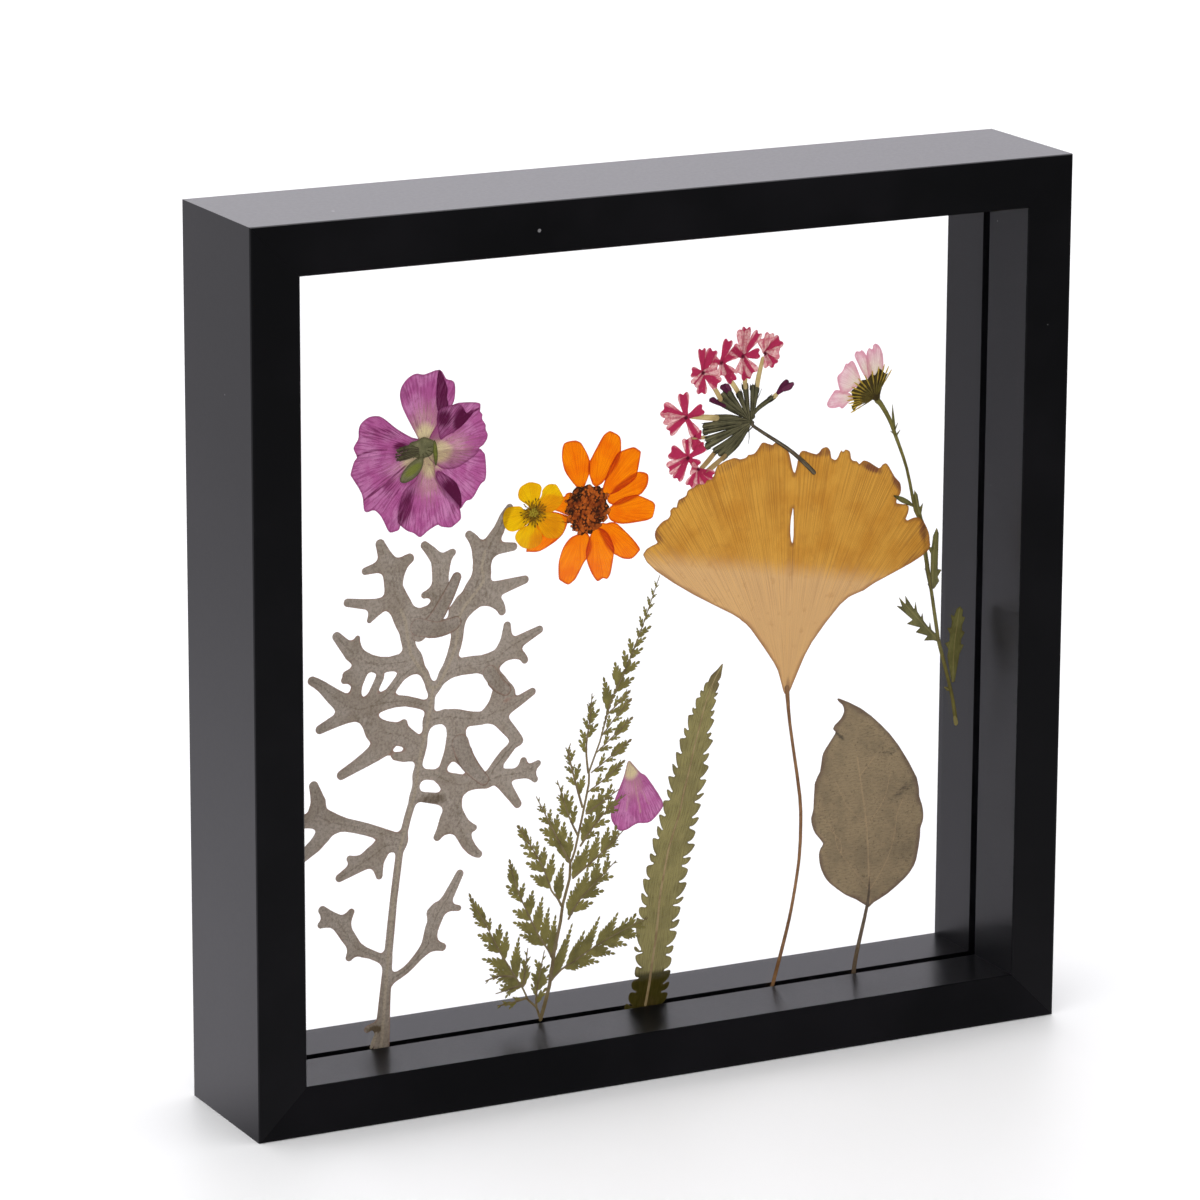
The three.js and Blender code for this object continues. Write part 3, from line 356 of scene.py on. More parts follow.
# distance to a line of [x, z] points; the second value says how far along it, in mm
def lineDistance(line, x, z):
    line = np.array(line, dtype=float)[:, :2]
    best = np.full(len(x), 1e9)
    along = np.zeros(len(x))
    run = 0.0
    for (ax, az), (bx, bz) in zip(line[:-1], line[1:]):
        dx, dz = bx - ax, bz - az
        length = math.hypot(dx, dz) + 1e-9
        t = np.clip(((x - ax) * dx + (z - az) * dz) / length ** 2, 0, 1)
        far = np.hypot(x - ax - t * dx, z - az - t * dz)
        closer = far < best
        best[closer] = far[closer]
        along[closer] = run + t[closer] * length
        run += length
    return best, along


# signed distance to a closed outline, negative inside
def outlineDistance(outline):
    ring = np.vstack([outline, outline[:1]])

    def distance(x, z):
        far = lineDistance(ring, x, z)[0]
        odd = np.zeros(len(x), dtype=bool)
        for (ax, az), (bx, bz) in zip(ring[:-1], ring[1:]):
            if az == bz:
                continue
            crosses = (az > z) != (bz > z)
            odd ^= crosses & (x < (bx - ax) * (z - az) / (bz - az) + ax)
        return np.where(odd, -far, far)
    return distance


# signed distance to strokes of [x, z, half width] points, softly melted together
def strokeDistance(strokes, melt):
    def distance(x, z):
        total = np.full(len(x), 1e3)
        for stroke in strokes:
            near = np.full(len(x), 1e3)
            for (ax, az, ar), (bx, bz, br) in zip(stroke[:-1], stroke[1:]):
                dx, dz = bx - ax, bz - az
                t = np.clip(((x - ax) * dx + (z - az) * dz) / (dx * dx + dz * dz + 1e-9), 0, 1)
                near = np.minimum(near, np.hypot(x - ax - t * dx, z - az - t * dz) - ar - (br - ar) * t)
            h = np.maximum(melt - np.abs(total - near), 0) / melt
            total = np.minimum(total, near) - h * h * melt / 4
        return total
    return distance


# gentle waves of a dried sheet, in mm towards the front
def waves(x, z, size, height):
    k = 2 * math.pi / size
    return height * (np.sin(k * (x + 0.4 * z)) + np.sin(k * (0.7 * z - 0.6 * x) + 1.3)
                     + 0.6 * np.sin(2.1 * k * (0.8 * x + z) + 0.5)) / 2.6


# soft marks from ovals [x, z, half width, half height, turn in degrees, strength]
def ovals(marks, x, z):
    total = np.zeros(len(x))
    for cx, cz, wide, high, turn, strength in marks:
        c, s = math.cos(math.radians(turn)), math.sin(math.radians(turn))
        u, v = (x - cx) * c + (z - cz) * s, (z - cz) * c - (x - cx) * s
        far = np.hypot(u / wide, v / high)
        total = np.maximum(total, strength * np.clip(1.6 - 1.6 * far, 0, 1))
    return total


# soft marks along lines [points, half width, strength]
def streaks(marks, x, z):
    total = np.zeros(len(x))
    for points, wide, strength in marks:
        far = lineDistance(points, x, z)[0]
        total = np.maximum(total, strength * np.clip(1.5 - 1.5 * far / wide, 0, 1))
    return total


# fills a region with a grid of small faces whose rim follows its edge
def addRegion(parts, distance, low, high, cell, y, grainOf, shadesOf, relief=None):
    xs = np.arange(low[0] - 2 * cell, high[0] + 2 * cell, cell)
    zs = np.arange(low[1] - 2 * cell, high[1] + 2 * cell, cell)
    gridX, gridZ = np.meshgrid(xs, zs, indexing="ij")
    d = distance(gridX.ravel(), gridZ.ravel()).reshape(gridX.shape)
    slopeX, slopeZ = np.gradient(d, cell)
    onEdge = np.abs(d) < 0.18 * cell
    gridX = np.where(onEdge, gridX - d * slopeX, gridX)
    gridZ = np.where(onEdge, gridZ - d * slopeZ, gridZ)
    d = np.where(onEdge, -1e-6, d)
    inside = d < 0
    number = np.full(d.shape, -1)
    number[inside] = np.arange(inside.sum())
    x, z, depth = list(gridX[inside]), list(gridZ[inside]), list(-d[inside])
    crossings = {}

    def crossing(a, b):
        key = (a, b) if a < b else (b, a)
        if key not in crossings:
            share = d[a] / (d[a] - d[b])
            crossings[key] = len(x)
            x.append(gridX[a] + share * (gridX[b] - gridX[a]))
            z.append(gridZ[a] + share * (gridZ[b] - gridZ[a]))
            depth.append(0.0)
        return crossings[key]

    corners = inside[:-1, :-1].astype(int) + inside[1:, :-1] + inside[1:, 1:] + inside[:-1, 1:]
    i, j = np.nonzero(corners == 4)
    faces = np.stack([number[i, j], number[i + 1, j], number[i + 1, j + 1], number[i, j + 1]], 1).tolist()
    for i, j in zip(*np.nonzero((corners > 0) & (corners < 4))):
        ring = ((i, j), (i + 1, j), (i + 1, j + 1), (i, j + 1))
        face = []
        for a, b in zip(ring, ring[1:] + ring[:1]):
            if inside[a]:
                face.append(number[a])
            if inside[a] != inside[b]:
                face.append(crossing(a, b))
        if len(face) > 2:
            faces.append(face)
    x, z, depth = np.array(x), np.array(z), np.array(depth)
    along, across = grainOf(x, z)
    shades = shadesOf(x, z)
    raised = relief(x, z) if relief else np.zeros(len(x))
    first = addPoints(parts, x, y - raised, z, (along, across, depth), shades)
    addFaces(parts, faces, first)


def outlineBox(points):
    points = np.array(points)[:, :2]
    return points.min(0), points.max(0)


# fills a closed outline
def addSheet(parts, outline, cell, y, grainOf, shadesOf, relief):
    addRegion(parts, outlineDistance(outline), *outlineBox(outline), cell, y, grainOf, shadesOf, relief)


# the same shade all over, with no tint and no veins
def evenShade(shade):
    return lambda x, z: (x * 0 + shade, x * 0, x * 0)


def rippled(size, height):
    return lambda x, z: waves(x, z, size, height)


# lines of a petal or leaf run out from its base like a fan
def fanGrain(base, spread):
    def grain(x, z):
        dx, dz = x - base[0], z - base[1]
        return np.hypot(dx, dz), np.arctan2(dz, dx) * spread
    return grain


# a narrow strip with round ends along [x, z, half width] points, slightly domed to the front
def addStrip(parts, points, y, shades=(0.0, 0.0, 0.0), dome=0.05, slot=0, steps=3, width=4):
    line = roundLine(points, steps)
    heading = np.gradient(line[:, :2], axis=0)
    heading /= np.linalg.norm(heading, axis=1)[:, None] + 1e-9
    run = np.concatenate([[0], np.cumsum(np.hypot(*np.diff(line[:, :2], axis=0).T))])
    stations = []
    for end, sign in ((0, -1), (-1, 1)):
        caps = []
        for turn in (80, 45):
            reach = math.sin(math.radians(turn)) * sign * line[end, 2]
            narrow = math.cos(math.radians(turn)) * line[end, 2]
            caps.append((line[end, :2] + heading[end] * reach, heading[end], narrow, run[end] + reach))
        stations.append(caps if sign < 0 else caps[::-1])
    middle = [(line[i, :2], heading[i], line[i, 2], run[i]) for i in range(len(line))]
    rows = stations[0] + middle + stations[1]
    share = np.linspace(-1, 1, width + 1)
    first = len(parts["places"])
    for centre, ahead, half, along in rows:
        x = centre[0] - ahead[1] * half * share
        z = centre[1] + ahead[0] * half * share
        height = y - dome * (1 - share ** 2)
        grain = (np.full(width + 1, along), share * half, (1 - np.abs(share)) * half)
        addPoints(parts, x, height, z, grain, tuple(np.full(width + 1, s) for s in shades))
    faces = []
    for i in range(len(rows) - 1):
        for j in range(width):
            a = i * (width + 1) + j
            faces.append((a, a + width + 1, a + width + 2, a + 1))
    addFaces(parts, faces, first, slot)


# little flat-bottomed grains, as seeds and anthers
def addGrains(parts, grains, y, height, sides=6):
    for x, z, radius, turn, shade in grains:
        ring = [turn + 2 * math.pi * k / sides for k in range(sides)]
        xs, ys, zs = [x], [y - height], [z]
        for share, drop in ((0.6, 0.75), (1.0, 0.0)):
            xs += [x + radius * share * math.cos(a) for a in ring]
            zs += [z + radius * share * math.sin(a) for a in ring]
            ys += [y - height * drop] * sides
        count = 1 + 2 * sides
        grain = ([turn * 3.0] * count, [radius] * count, [radius] + [radius * 0.4] * sides + [0.0] * sides)
        first = addPoints(parts, xs, ys, zs, grain, ([shade] * count, [0.0] * count, [0.0] * count))
        faces = []
        for k in range(sides):
            following = (k + 1) % sides
            faces.append((0, 1 + following, 1 + k))
            faces.append((1 + k, 1 + following, 1 + sides + following, 1 + sides + k))
        addFaces(parts, faces, first)


# material of a dried petal or leaf; "grain" holds how far along, across and from the edge, in mm
pressedBase = {
    "cloud": None, "cloudSize": 4.0, "line": None, "lineLength": 12.0, "lineWidth": 0.5, "lineAmount": 0.5,
    "rim": None, "rimWidth": 0.5, "rimAmount": 0.7, "shade": None, "tint": None, "vein": None,
    "speck": None, "speckSize": 0.5, "speckAmount": 0.0, "glow": 0.3, "roughness": 0.7, "bump": 0.4,
    "felt": 0.0,
}


def pressedMaterial(name, changes):
    look = {**pressedBase, **changes}
    material, tree, shader = newMaterial(name)
    grain = add(tree, "Attribute", attribute_name="grain").outputs["Vector"]
    edge = add(tree, "SeparateXYZ", {0: grain}).outputs["Z"]
    marks = add(tree, "SeparateXYZ", {0: add(tree, "Attribute", attribute_name="shades").outputs["Vector"]})
    place = add(tree, "NewGeometry").outputs["Position"]
    colour = look["colour"]
    cloud = noise(tree, place, 1000.0 / look["cloudSize"], 4.0)
    if look["cloud"]:
        colour = mix(tree, between(tree, cloud, 0.38, 0.68), colour, look["cloud"])
    flat = stretch(tree, grain, 1.0 / look["lineLength"], 2.0 / look["lineWidth"], 0.0)
    lines = noise(tree, flat, 1.0, 3.0, 0.6)
    frayed = calc(tree, "SUBTRACT", lines, 0.5)
    tinted = 0.0
    if look["tint"]:
        ragged = calc(tree, "ADD", marks.outputs["Y"], calc(tree, "MULTIPLY", frayed, 1.2))
        tinted = between(tree, ragged, 0.1, 0.95)
        colour = mix(tree, tinted, colour, look["tint"])
    if look["line"]:
        drawn = between(tree, lines, 0.44, 0.62, (0.0, look["lineAmount"]))
        kept = calc(tree, "SUBTRACT", 1.0, calc(tree, "MULTIPLY", tinted, 0.3))
        colour = mix(tree, calc(tree, "MULTIPLY", drawn, kept), colour, look["line"])
    if look["rim"]:
        uneven = calc(tree, "MULTIPLY", between(tree, cloud, 0.3, 0.6, (0.5, 1.6)), look["rimWidth"])
        near = calc(tree, "SUBTRACT", 1.0, calc(tree, "DIVIDE", edge, uneven), clamp=True)
        colour = mix(tree, calc(tree, "MULTIPLY", near, look["rimAmount"]), colour, look["rim"])
    if look["shade"]:
        ragged = calc(tree, "ADD", marks.outputs["X"], calc(tree, "MULTIPLY", frayed, 1.0))
        colour = mix(tree, between(tree, ragged, 0.1, 0.9), colour, look["shade"])
    if look["vein"]:
        colour = mix(tree, between(tree, marks.outputs["Z"], 0.2, 0.9), colour, look["vein"])
    if look["speck"]:
        fine = noise(tree, place, 1000.0 / look["speckSize"], 2.0)
        dots = between(tree, fine, 0.6, 0.72, (0.0, look["speckAmount"]))
        colour = mix(tree, dots, colour, look["speck"])
    height = calc(tree, "ADD", lines, calc(tree, "MULTIPLY", cloud, 0.6))
    if look["felt"]:
        wool = noise(tree, place, 1300.0, 4.0, 0.75)
        colour = mix(tree, between(tree, wool, 0.46, 0.6, (0.0, 0.42)), colour, look["line"])
        height = calc(tree, "ADD", height, calc(tree, "MULTIPLY", wool, look["felt"]))
    tree.links.new(colour, shader.inputs["Base Color"])
    shader.inputs["Roughness"].default_value = look["roughness"]
    shader.inputs["Specular IOR Level"].default_value = 0.06
    bump = add(tree, "Bump", {"Strength": look["bump"], "Distance": 0.0002, "Height": height})
    tree.links.new(bump.outputs[0], shader.inputs["Normal"])
    through = add(tree, "BsdfTranslucent", {"Color": colour, "Normal": bump.outputs[0]})
    both = add(tree, "MixShader", {0: look["glow"], 1: shader.outputs[0], 2: through.outputs[0]})
    tree.links.new(both.outputs[0], tree.nodes["Material Output"].inputs["Surface"])
    return material


# one petal, with the shade, the painted shade along its creases and where its neighbours overlap it, and the
# pale marks that are given beside its outline
def petalParts(parts, petal, y, cell, spread):
    def shades(x, z):
        dark = np.maximum(ovals(petal.get("shade", []), x, z), streaks(petal.get("creaseShade", []), x, z))
        # painted shade where a neighbouring petal overlaps this one
        for other in petal.get("neighbours", []):
            under = np.clip(0.5 - outlineDistance(other)(x, z) / 0.4, 0, 1)
            dark = dark + petal["overlapShade"] * under
        pale = np.maximum(ovals(petal.get("tint", []), x, z), streaks(petal.get("tintLines", []), x, z))
        return dark + petal.get("dusk", 0.0), pale, x * 0

    grain = fanGrain(petal["base"], spread)
    addSheet(parts, roundOutline(petal["outline"]), cell, y, grain, shades, rippled(9.0, 0.04))


# every petal of a flower is a piece of its own; the last value paints shade on it where its neighbours
# overlap it
def makePetals(flower, petals, material, cell, spread=14.0, overlapShade=0.0):
    outlines = [roundOutline(petal["outline"]) for petal in petals]
    for number, petal in enumerate(petals, 1):
        node = f"{flower}_{number}"
        parts, y = startPiece(node)
        beside = [outlines[number - 2], outlines[number % len(petals)]] if overlapShade else []
        petalParts(parts, {**petal, "neighbours": beside, "overlapShade": overlapShade}, y, cell, spread)
        # a fold lies over its petal and is painted darker (dusk): painted shade of the double layer
        for fold in petal.get("folds", []):
            petalParts(parts, {"base": petal["base"], "dusk": 0.75, **fold}, y - 0.06, cell * 0.8, spread)
        makePiece(node, parts, [material])


# radians from one grain or stamen to the next, which spreads them evenly round a centre
goldenTurn = 2.39996

# orange zinnia: ten ray petals round a disc of rust-brown seeds
zinniaLook = {
    "petal": {
        "colour": rgb(255, 140, 0), "cloud": rgb(248, 118, 0), "cloudSize": 5.0,
        "line": rgb(226, 88, 0), "lineLength": 14.0, "lineWidth": 0.6, "lineAmount": 0.6,
        "rim": rgb(196, 54, 8), "rimWidth": 0.5, "rimAmount": 0.95, "shade": rgb(186, 62, 8),
        "tint": rgb(255, 160, 30), "glow": 0.62, "roughness": 0.6, "bump": 0.35,
    },
    # disc: the dark rim round each seed is painted shade between the seeds; the light specks are painted
    # highlights
    "disc": {
        "colour": rgb(196, 96, 30), "cloud": rgb(132, 52, 14), "cloudSize": 3.4, "rim": rgb(56, 22, 8),
        "rimWidth": 0.22, "rimAmount": 0.9, "shade": rgb(46, 26, 14), "speck": rgb(214, 128, 52),
        "speckSize": 0.5, "speckAmount": 0.6, "glow": 0.06, "roughness": 0.8, "bump": 0.9,
    },
    "seeds": 190, "seedSize": (0.36, 0.8), "discCentre": (-15.2, 160.2), "discReach": 6.6,
}
zinniaPetals = [
    {"base": (-16.9, 164.5), "outline": [
        [-18.24, 166.7], [-21.5, 170.9], [-22.5, 173.55], [-22.86, 176.5],
        [-22.15, 179.5], [-19.05, 180], [-17.75, 179.6], [-16.8, 178.9],
        [-15.1, 176], [-14.3, 174], [-14.1, 171.9], [-14.6, 169.6], [-16.4, 166]]},
    {"base": (-12.8, 164.5), "outline": [
        [-14.3, 173.55], [-10.4, 179.9], [-9.4, 180.9], [-8.5, 181.4],
        [-7.55, 181.4], [-4.9, 179.6], [-4.5, 176.5], [-4.8, 174.2], [-5.5, 172.2],
        [-6.8, 170.45], [-12.2, 166], [-14.65, 170.9], [-14.7, 172.6]]},
    {"base": (-10.6, 163.4), "outline": [
        [-10.6, 164], [-10.4, 165.4], [-8.8, 169.8], [-6, 174.7], [-4.5, 175.6], [-1.3, 176.3], [0, 176],
        [1, 175.2], [1.5, 174.3], [0.4, 168.7], [-0.6, 167], [-4.5, 164.7], [-6.6, 163.9], [-8.6, 163.6]]},
    {"base": (-9, 161.6), "outline": [
        [-8.8, 162.3], [-7.5, 164.4], [-6.2, 165.7], [-2.3, 168.2], [-0.3, 169],
        [1.3, 169.1], [2.9, 168.7], [3.9, 167.95], [4.05, 166.4], [3.6, 164.75],
        [2.6, 163.45], [1.3, 162.5], [-4.55, 160.5], [-7.6, 160.8]]},
    {"base": (-9, 159), "outline": [
        [-8.8, 159], [-7.6, 160.4], [-4.5, 162.1], [-0.6, 162.7], [1.3, 162.3],
        [4.9, 160.5], [5.7, 159.8], [6.07, 158.8], [5.4, 155.95],
        [4.25, 155.3], [2.6, 155], [-3.9, 154.85], [-7.3, 156], [-8.4, 157.3]]},
    {"base": (-10.6, 156.4), "outline": [
        [-10.4, 155.8], [-9.1, 155.5], [-7.5, 155.7], [-5.5, 155], [-0.6, 150.1],
        [1.45, 147.3], [1.3, 146.5], [-0.6, 144.8], [-2.1, 144.6], [-3.9, 145],
        [-5.5, 145.9], [-7.2, 147], [-8.5, 148.5], [-9.8, 150.4], [-11.4, 154.2]]},
    {"base": (-12.8, 155), "outline": [
        [-13.4, 154], [-15.2, 149.1], [-15.3, 146.8], [-14.9, 145], [-13.6, 141.9],
        [-11.8, 139.4], [-10.1, 140.1], [-8.95, 139.7], [-8.1, 140.4], [-7.5, 141.9],
        [-6.6, 147.2], [-6.8, 149], [-7.8, 151.4], [-9, 153.2], [-11, 154.4]]},
    {"base": (-16.6, 155), "outline": [
        [-17.3, 154.2], [-17.9, 153.4], [-19.5, 152.9], [-20.8, 152], [-22.1, 150.4], [-23.1, 148.1],
        [-23.7, 145.5], [-23.6, 141.6], [-22.8, 140.6], [-20.8, 139.4], [-19.6, 139.9], [-18.2, 141.1],
        [-15.9, 145], [-14.4, 146.8], [-13.7, 148.8], [-13.5, 150.7], [-14.2, 152.4], [-15.4, 154]]},
    {"base": (-20, 159.6), "shade": [[-26, 156.4, 5, 2.4, 30, 0.4]], "outline": [
        [-33.4, 150.4], [-32.2, 154.3], [-29.3, 158.4], [-27.7, 159.8], [-25.4, 160.5], [-20.6, 158.8],
        [-20.4, 157.6], [-21.8, 154.3], [-23.4, 152.7], [-25.4, 151.4], [-29.3, 149.7], [-32.6, 149.9]]},
    {"base": (-19, 162), "outline": [
        [-19.4, 165.1], [-21.3, 165.2], [-22.1, 164.4], [-26.4, 165.7], [-28, 165.3],
        [-29.2, 164.4], [-29.7, 162.8], [-29.5, 161.2], [-28.7, 160.3],
        [-26.7, 160.2], [-24.75, 160.8], [-19.5, 158.6], [-18.6, 161.6]]},
]
zinniaDisc = [
    [-18.2, 167], [-16.6, 166.6], [-14.8, 167.3], [-13.2, 166.4], [-11.2, 166.4],
    [-10.6, 164.8], [-9.2, 163.8], [-9.2, 161.6], [-8.2, 160.2], [-9, 158.6], [-9, 157],
    [-10.8, 156.2], [-11.6, 154.8], [-13, 154.6], [-13.8, 153], [-15.6, 153.6], [-16.8, 152.9],
    [-18, 154.2], [-19.6, 154.8], [-19.8, 156.8], [-21.2, 158], [-20.9, 159.4], [-22.2, 160.2],
    [-21, 161.6], [-21.4, 163.4], [-20, 164.2], [-19.6, 165.8]]

# two fine hairs that stand out from the disc
zinniaHairs = [[[-19.4, 157.4, 0.12], [-21, 157, 0.1], [-22.8, 157.6, 0.06]],
               [[-19.6, 158.6, 0.12], [-21.4, 158.7, 0.1], [-22.6, 159.4, 0.06]]]


def makeZinnia(look):
    petal = pressedMaterial("orangePetal", look["petal"])
    seed = pressedMaterial("rustSeeds", look["disc"])
    # 0.42: painted shade where neighbouring petals overlap
    makePetals("zinnia_petal", zinniaPetals, petal, 0.36, 14.0, 0.42)
    parts, y = startPiece("zinnia_disc")
    outline = roundOutline(zinniaDisc)
    inside = outlineDistance(outline)
    dark = [[-18.7, 163.9, 1.9, 1.7, 0, 1.0], [-20.2, 160.2, 1.4, 1.2, 0, 1.0],
            [-16.9, 166.2, 1.5, 1.0, 0, 0.8], [-12, 158.4, 2.2, 1.6, 30, 0.4]]
    grain = fanGrain(look["discCentre"], 8.0)
    # a dark sheet under the seeds, seen in the gaps between them: painted shade
    addRegion(parts, inside, *outlineBox(outline), 0.5, y + 0.05, grain, evenShade(0.8))
    small, large = look["seedSize"]
    grains = []
    for k in range(look["seeds"]):
        far = look["discReach"] * math.sqrt((k + 0.5) / look["seeds"])
        turn = k * goldenTurn
        x = look["discCentre"][0] + far * math.cos(turn) * (1.03 + 0.02 * math.sin(5 * turn))
        z = look["discCentre"][1] + far * math.sin(turn) * (1.03 + 0.03 * math.cos(3 * turn))
        x, z = np.array([x + 0.4 * math.sin(k * 17.3)]), np.array([z + 0.4 * math.cos(k * 11.7)])
        if inside(x, z)[0] < 0.25:
            wobble = 0.5 + 0.5 * math.sin(k * 12.9)
            shade = min(1.0, ovals(dark, x, z)[0] + 0.35 * wobble)
            grains.append((x[0], z[0], small + (large - small) * wobble, turn, shade))
    addGrains(parts, grains, y + 0.03, 0.1)
    for hair in zinniaHairs:
        addStrip(parts, hair, y, (0.9, 0, 0), 0.04, 0, 3, 2)
    makePiece("zinnia_disc", parts, [seed])
    print("zinnia made:", len(grains), "seeds")


makeZinnia(zinniaLook)

# buttercup: five yellow petals, a ring of stamens and a small green heart
buttercupLook = {
    "petal": {
        "colour": rgb(250, 200, 0), "cloud": rgb(244, 182, 0), "cloudSize": 5.0,
        "line": rgb(206, 138, 0), "lineLength": 7.0, "lineWidth": 0.6, "lineAmount": 0.6,
        "rim": rgb(222, 156, 0), "rimWidth": 0.35, "rimAmount": 0.6, "shade": rgb(132, 92, 12),
        "tint": rgb(226, 146, 0), "glow": 0.4, "roughness": 0.45, "bump": 0.3,
    },
    "stamens": {
        "colour": rgb(150, 108, 20), "cloud": rgb(112, 78, 14), "cloudSize": 1.4,
        "shade": rgb(70, 50, 12), "tint": rgb(170, 152, 44), "glow": 0.15, "roughness": 0.8, "bump": 0.6,
    },
    "heart": (-31.6, 161.0), "stamenCount": 60,
    "stamenReach": (1.2, 3.8), "carpels": 14, "carpelSize": 0.36,
}
buttercupPetals = [
    {"base": (-31.4, 161.6), "shade": [[-35.2, 163.8, 1.3, 0.8, 30, 0.9], [-31.6, 162.6, 2, 1.2, 0, 0.6]],
     "outline": [
        [-32, 160.6], [-33.2, 163.1], [-35.6, 164.9], [-36.2, 166.1], [-36.1, 167.4],
        [-35.3, 168.7], [-32.8, 169.7], [-30, 169], [-29.2, 168.1], [-29.1, 167], [-30.8, 160.6]]},
    {"base": (-31.2, 161.2), "tint": [[-26, 161.4, 4, 2, 20, 0.5]],
     "shade": [[-30.6, 161.6, 4.4, 3.4, 0, 0.55]], "outline": [
        [-31.6, 161.6], [-29, 165.4], [-28.7, 167], [-27, 168.4], [-25, 168.3], [-24.1, 167.7],
        [-22.2, 164.3], [-22.6, 163], [-23.4, 162], [-25.7, 160.5], [-31.6, 160.2]]},
    {"base": (-31.4, 160.6), "tint": [[-25.6, 156.6, 5, 4.6, 0, 0.5]],
     "shade": [[-30.8, 160.6, 4.6, 4.2, 0, 0.55]], "outline": [
        [-31.6, 161.2], [-27.7, 160.8], [-24.1, 159.9], [-22.8, 158.9],
        [-22, 157.4], [-21.9, 156], [-22.3, 154.6], [-23.3, 153.5], [-24.4, 153],
        [-27, 153.3], [-28.3, 154.1], [-29.2, 155.3], [-31.8, 160.2]]},
    {"base": (-31.6, 160.4), "tint": [[-30, 153, 2.6, 3, 0, 0.5]],
     "shade": [[-31.4, 160, 3.4, 4.4, 0, 0.55]], "outline": [
        [-32.4, 160.8], [-32.9, 157.9], [-36.1, 156.4], [-37, 154.3], [-35.5, 152],
        [-33.9, 151.1], [-32.5, 150.9], [-30.9, 151.1], [-29.6, 151.7],
        [-28.8, 152.7], [-28.7, 154], [-29.2, 155.4], [-30.3, 156.9], [-30.6, 160.8]]},
    {"base": (-31.8, 161), "shade": [[-32.4, 160.8, 4.2, 3.4, 0, 0.55]], "outline": [
        [-31, 161.8], [-33.9, 161.9], [-34.9, 162.8], [-36, 163.2], [-38.8, 163.2],
        [-39.9, 162.5], [-40.5, 161.2], [-40.6, 159.8], [-40.3, 158.2],
        [-39.4, 156.9], [-38.1, 156.3], [-36.5, 156.3], [-33.6, 157.4], [-31, 160]]},
]


def makeButtercup(look):
    petal = pressedMaterial("yellowPetal", look["petal"])
    anther = pressedMaterial("oliveStamens", look["stamens"])
    makePetals("buttercup_petal", buttercupPetals, petal, 0.36)
    parts, y = startPiece("buttercup_stamens")
    cx, cz = look["heart"]
    near, far = look["stamenReach"]
    for k in range(look["stamenCount"]):
        turn = k * goldenTurn
        reach = near + (far - near) * (0.5 + 0.5 * math.sin(k * 7.3))
        ex, ez = cx + reach * math.cos(turn), cz + reach * math.sin(turn)
        bend = 0.25 * math.sin(k * 3.1)
        mid = (cx + 0.6 * reach * math.cos(turn + bend), cz + 0.6 * reach * math.sin(turn + bend))
        lift = y - 0.03 * math.sin(k * 5.7)
        shade = 0.3 + 0.3 * math.sin(k * 2.2)
        addStrip(parts, [[cx, cz, 0.1], [*mid, 0.09], [ex, ez, 0.07]], lift, (shade, 0.3, 0), 0.02, 0, 2, 2)
        tip = [ex + 0.4 * math.cos(turn), ez + 0.4 * math.sin(turn), 0.14]
        addStrip(parts, [[ex, ez, 0.19], tip], lift - 0.03, (shade, 0.1, 0), 0.05, 0, 2, 2)
    carpels = []
    for k in range(look["carpels"]):
        turn = k * 2.4
        out = 0.34 * math.sqrt(k)
        x, z = cx + out * math.cos(turn), cz + out * math.sin(turn)
        carpels.append((x, z, look["carpelSize"], turn, 0.0))
    first = len(parts["places"])
    addGrains(parts, carpels, y, 0.12)
    for k in range(first, len(parts["places"])):
        parts["shades"][k] = (0.0, 0.9, 0.0)
    makePiece("buttercup_stamens", parts, [anther])
    print("buttercup made")


makeButtercup(buttercupLook)

# mallow: five purple petals folded over each other round a grey-green calyx, and one loose petal
mallowLook = {
    "petal": {
        "colour": rgb(184, 94, 152), "cloud": rgb(206, 132, 180), "cloudSize": 5.0,
        "line": rgb(142, 52, 112), "lineLength": 5.0, "lineWidth": 0.6, "lineAmount": 0.62,
        "rim": rgb(132, 38, 98), "rimWidth": 0.5, "rimAmount": 0.7,
        "shade": rgb(104, 26, 72), "tint": rgb(226, 210, 160), "speck": rgb(140, 52, 110),
        "speckSize": 0.9, "speckAmount": 0.35, "glow": 0.35, "roughness": 0.6, "bump": 1.0,
    },
    "calyx": {
        "colour": rgb(116, 116, 82), "cloud": rgb(142, 138, 100), "cloudSize": 2.0,
        "line": rgb(74, 70, 42), "lineLength": 3.0, "lineWidth": 0.4, "lineAmount": 0.6,
        "shade": rgb(66, 56, 46), "tint": rgb(130, 138, 62), "rim": rgb(66, 60, 38),
        "rimWidth": 0.5, "glow": 0.15, "roughness": 0.8, "bump": 0.5,
    },
}
mallowHeart = (-64.3, 181.5)
